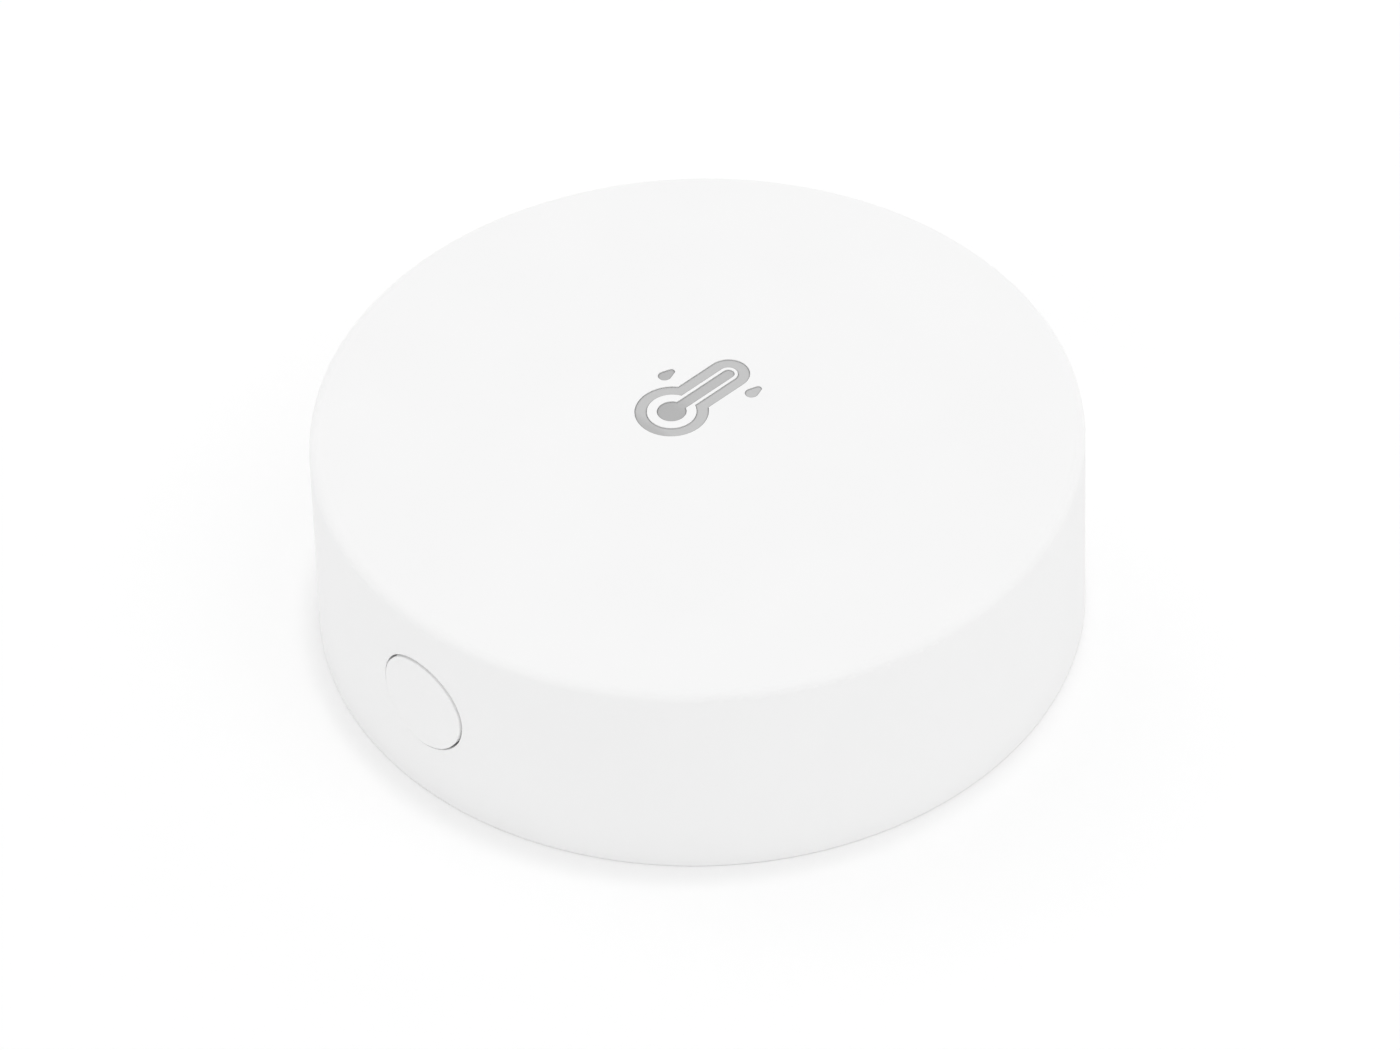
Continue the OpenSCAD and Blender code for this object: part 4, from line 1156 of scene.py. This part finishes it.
def white_table():
    """A pale table that shows as white and keeps the shadow of the object."""
    bpy.ops.mesh.primitive_plane_add(size=TABLE_SIZE)
    table = bpy.context.object
    table.name = "table"
    finish = bpy.data.materials.new("table_top")
    finish.use_nodes = True
    tree = finish.node_tree
    tree.nodes.remove(tree.nodes["Principled BSDF"])
    plain = tree.nodes.new("ShaderNodeBsdfDiffuse")
    plain.inputs["Color"].default_value = (TABLE_SHADE, TABLE_SHADE, TABLE_SHADE, 1)
    glow = tree.nodes.new("ShaderNodeEmission")
    glow.inputs["Color"].default_value = (1, 1, 1, 1)
    glow.inputs["Strength"].default_value = TABLE_LIFT
    lifted = tree.nodes.new("ShaderNodeAddShader")
    tree.links.new(plain.outputs[0], lifted.inputs[0])
    tree.links.new(glow.outputs[0], lifted.inputs[1])
    choice = tree.nodes.new("ShaderNodeMixShader")
    tree.links.new(seen_directly(tree, LIFT_IN_MIRRORS), choice.inputs[0])
    tree.links.new(plain.outputs[0], choice.inputs[1])
    tree.links.new(lifted.outputs[0], choice.inputs[2])
    out = tree.nodes["Material Output"]
    tree.links.new(choice.outputs[0], out.inputs["Surface"])
    table.data.materials.append(finish)


def white_room():
    """Soft light from walls and a ceiling, and a white background."""
    world = bpy.data.worlds.new("white_room")
    bpy.context.scene.world = world
    world.use_nodes = True
    tree = world.node_tree
    light = tree.nodes["Background"]
    light.inputs["Color"].default_value = (1, 1, 1, 1)
    sky = tree.nodes.new("ShaderNodeTexCoord")
    height = tree.nodes.new("ShaderNodeSeparateXYZ")
    tree.links.new(sky.outputs["Generated"], height.inputs[0])
    level = between(tree, height.outputs["Z"], WALL_LEVEL, CEILING_LEVEL, start=0.0, end=1.0)
    tree.links.new(level, light.inputs["Strength"])
    backdrop = tree.nodes.new("ShaderNodeBackground")
    backdrop.inputs["Color"].default_value = (1, 1, 1, 1)
    backdrop.inputs["Strength"].default_value = 1.0
    choice = tree.nodes.new("ShaderNodeMixShader")
    tree.links.new(seen_directly(tree), choice.inputs[0])
    tree.links.new(light.outputs[0], choice.inputs[1])
    tree.links.new(backdrop.outputs[0], choice.inputs[2])
    out = tree.nodes["World Output"]
    tree.links.new(choice.outputs[0], out.inputs["Surface"])


def way_out(azimuth, elevation):
    """The way out from the object, by angles in degrees: azimuth 0 is the button's side."""
    a = math.radians(azimuth)
    e = math.radians(elevation)
    return Vector((math.sin(a) * math.cos(e), -math.cos(a) * math.cos(e), math.sin(e)))


def soft_box(name, azimuth, elevation, distance, size, level):
    """A square lamp that lights a white surface facing it up to level."""
    away = way_out(azimuth, elevation)
    lamp = bpy.data.lights.new(name, "AREA")
    lamp.size = size
    lamp.energy = level * math.pi ** 2 * distance ** 2
    holder = bpy.data.objects.new(name, lamp)
    holder.location = away * distance
    holder.rotation_euler = (-away).to_track_quat("-Z", "Y").to_euler()
    bpy.context.scene.collection.objects.link(holder)


CAMERA_AZIMUTH = 45.8
CAMERA_ELEVATION = 42.97
CAMERA_ROLL = -1.739
CAMERA_DISTANCE = 324.5 * MM
CAMERA_AIM = Vector((0, 0, 5.1)) * MM
CAMERA_ASIDE = -0.024 * MM
CAMERA_ABOVE = 0.584 * MM
CAMERA_NEAREST = 0.01
LENS = 179.375


def camera():
    """The view of the photograph."""
    back = way_out(CAMERA_AZIMUTH, CAMERA_ELEVATION)
    turn = (-back).to_track_quat("-Z", "Y") @ Quaternion((0, 0, 1), math.radians(CAMERA_ROLL))
    right = turn @ Vector((1, 0, 0))
    up = turn @ Vector((0, 1, 0))
    lens = bpy.data.cameras.new("camera")
    lens.lens = LENS
    lens.clip_start = CAMERA_NEAREST
    eye = bpy.data.objects.new("camera", lens)
    aim = CAMERA_AIM - right * CAMERA_ASIDE - up * CAMERA_ABOVE
    eye.location = aim + back * CAMERA_DISTANCE
    eye.rotation_mode = "QUATERNION"
    eye.rotation_quaternion = turn
    bpy.context.scene.collection.objects.link(eye)
    bpy.context.scene.camera = eye


bpy.context.scene.view_settings.view_transform = "Standard"
white_table()
white_room()
soft_box("lamp_above", azimuth=200, elevation=85, distance=0.5, size=0.05, level=ABOVE_LEVEL)
soft_box("lamp_right", azimuth=110, elevation=62, distance=0.5, size=0.3, level=KEY_LEVEL)
soft_box("lamp_left", azimuth=-90, elevation=60, distance=0.5, size=0.3, level=FILL_LEVEL)
camera()
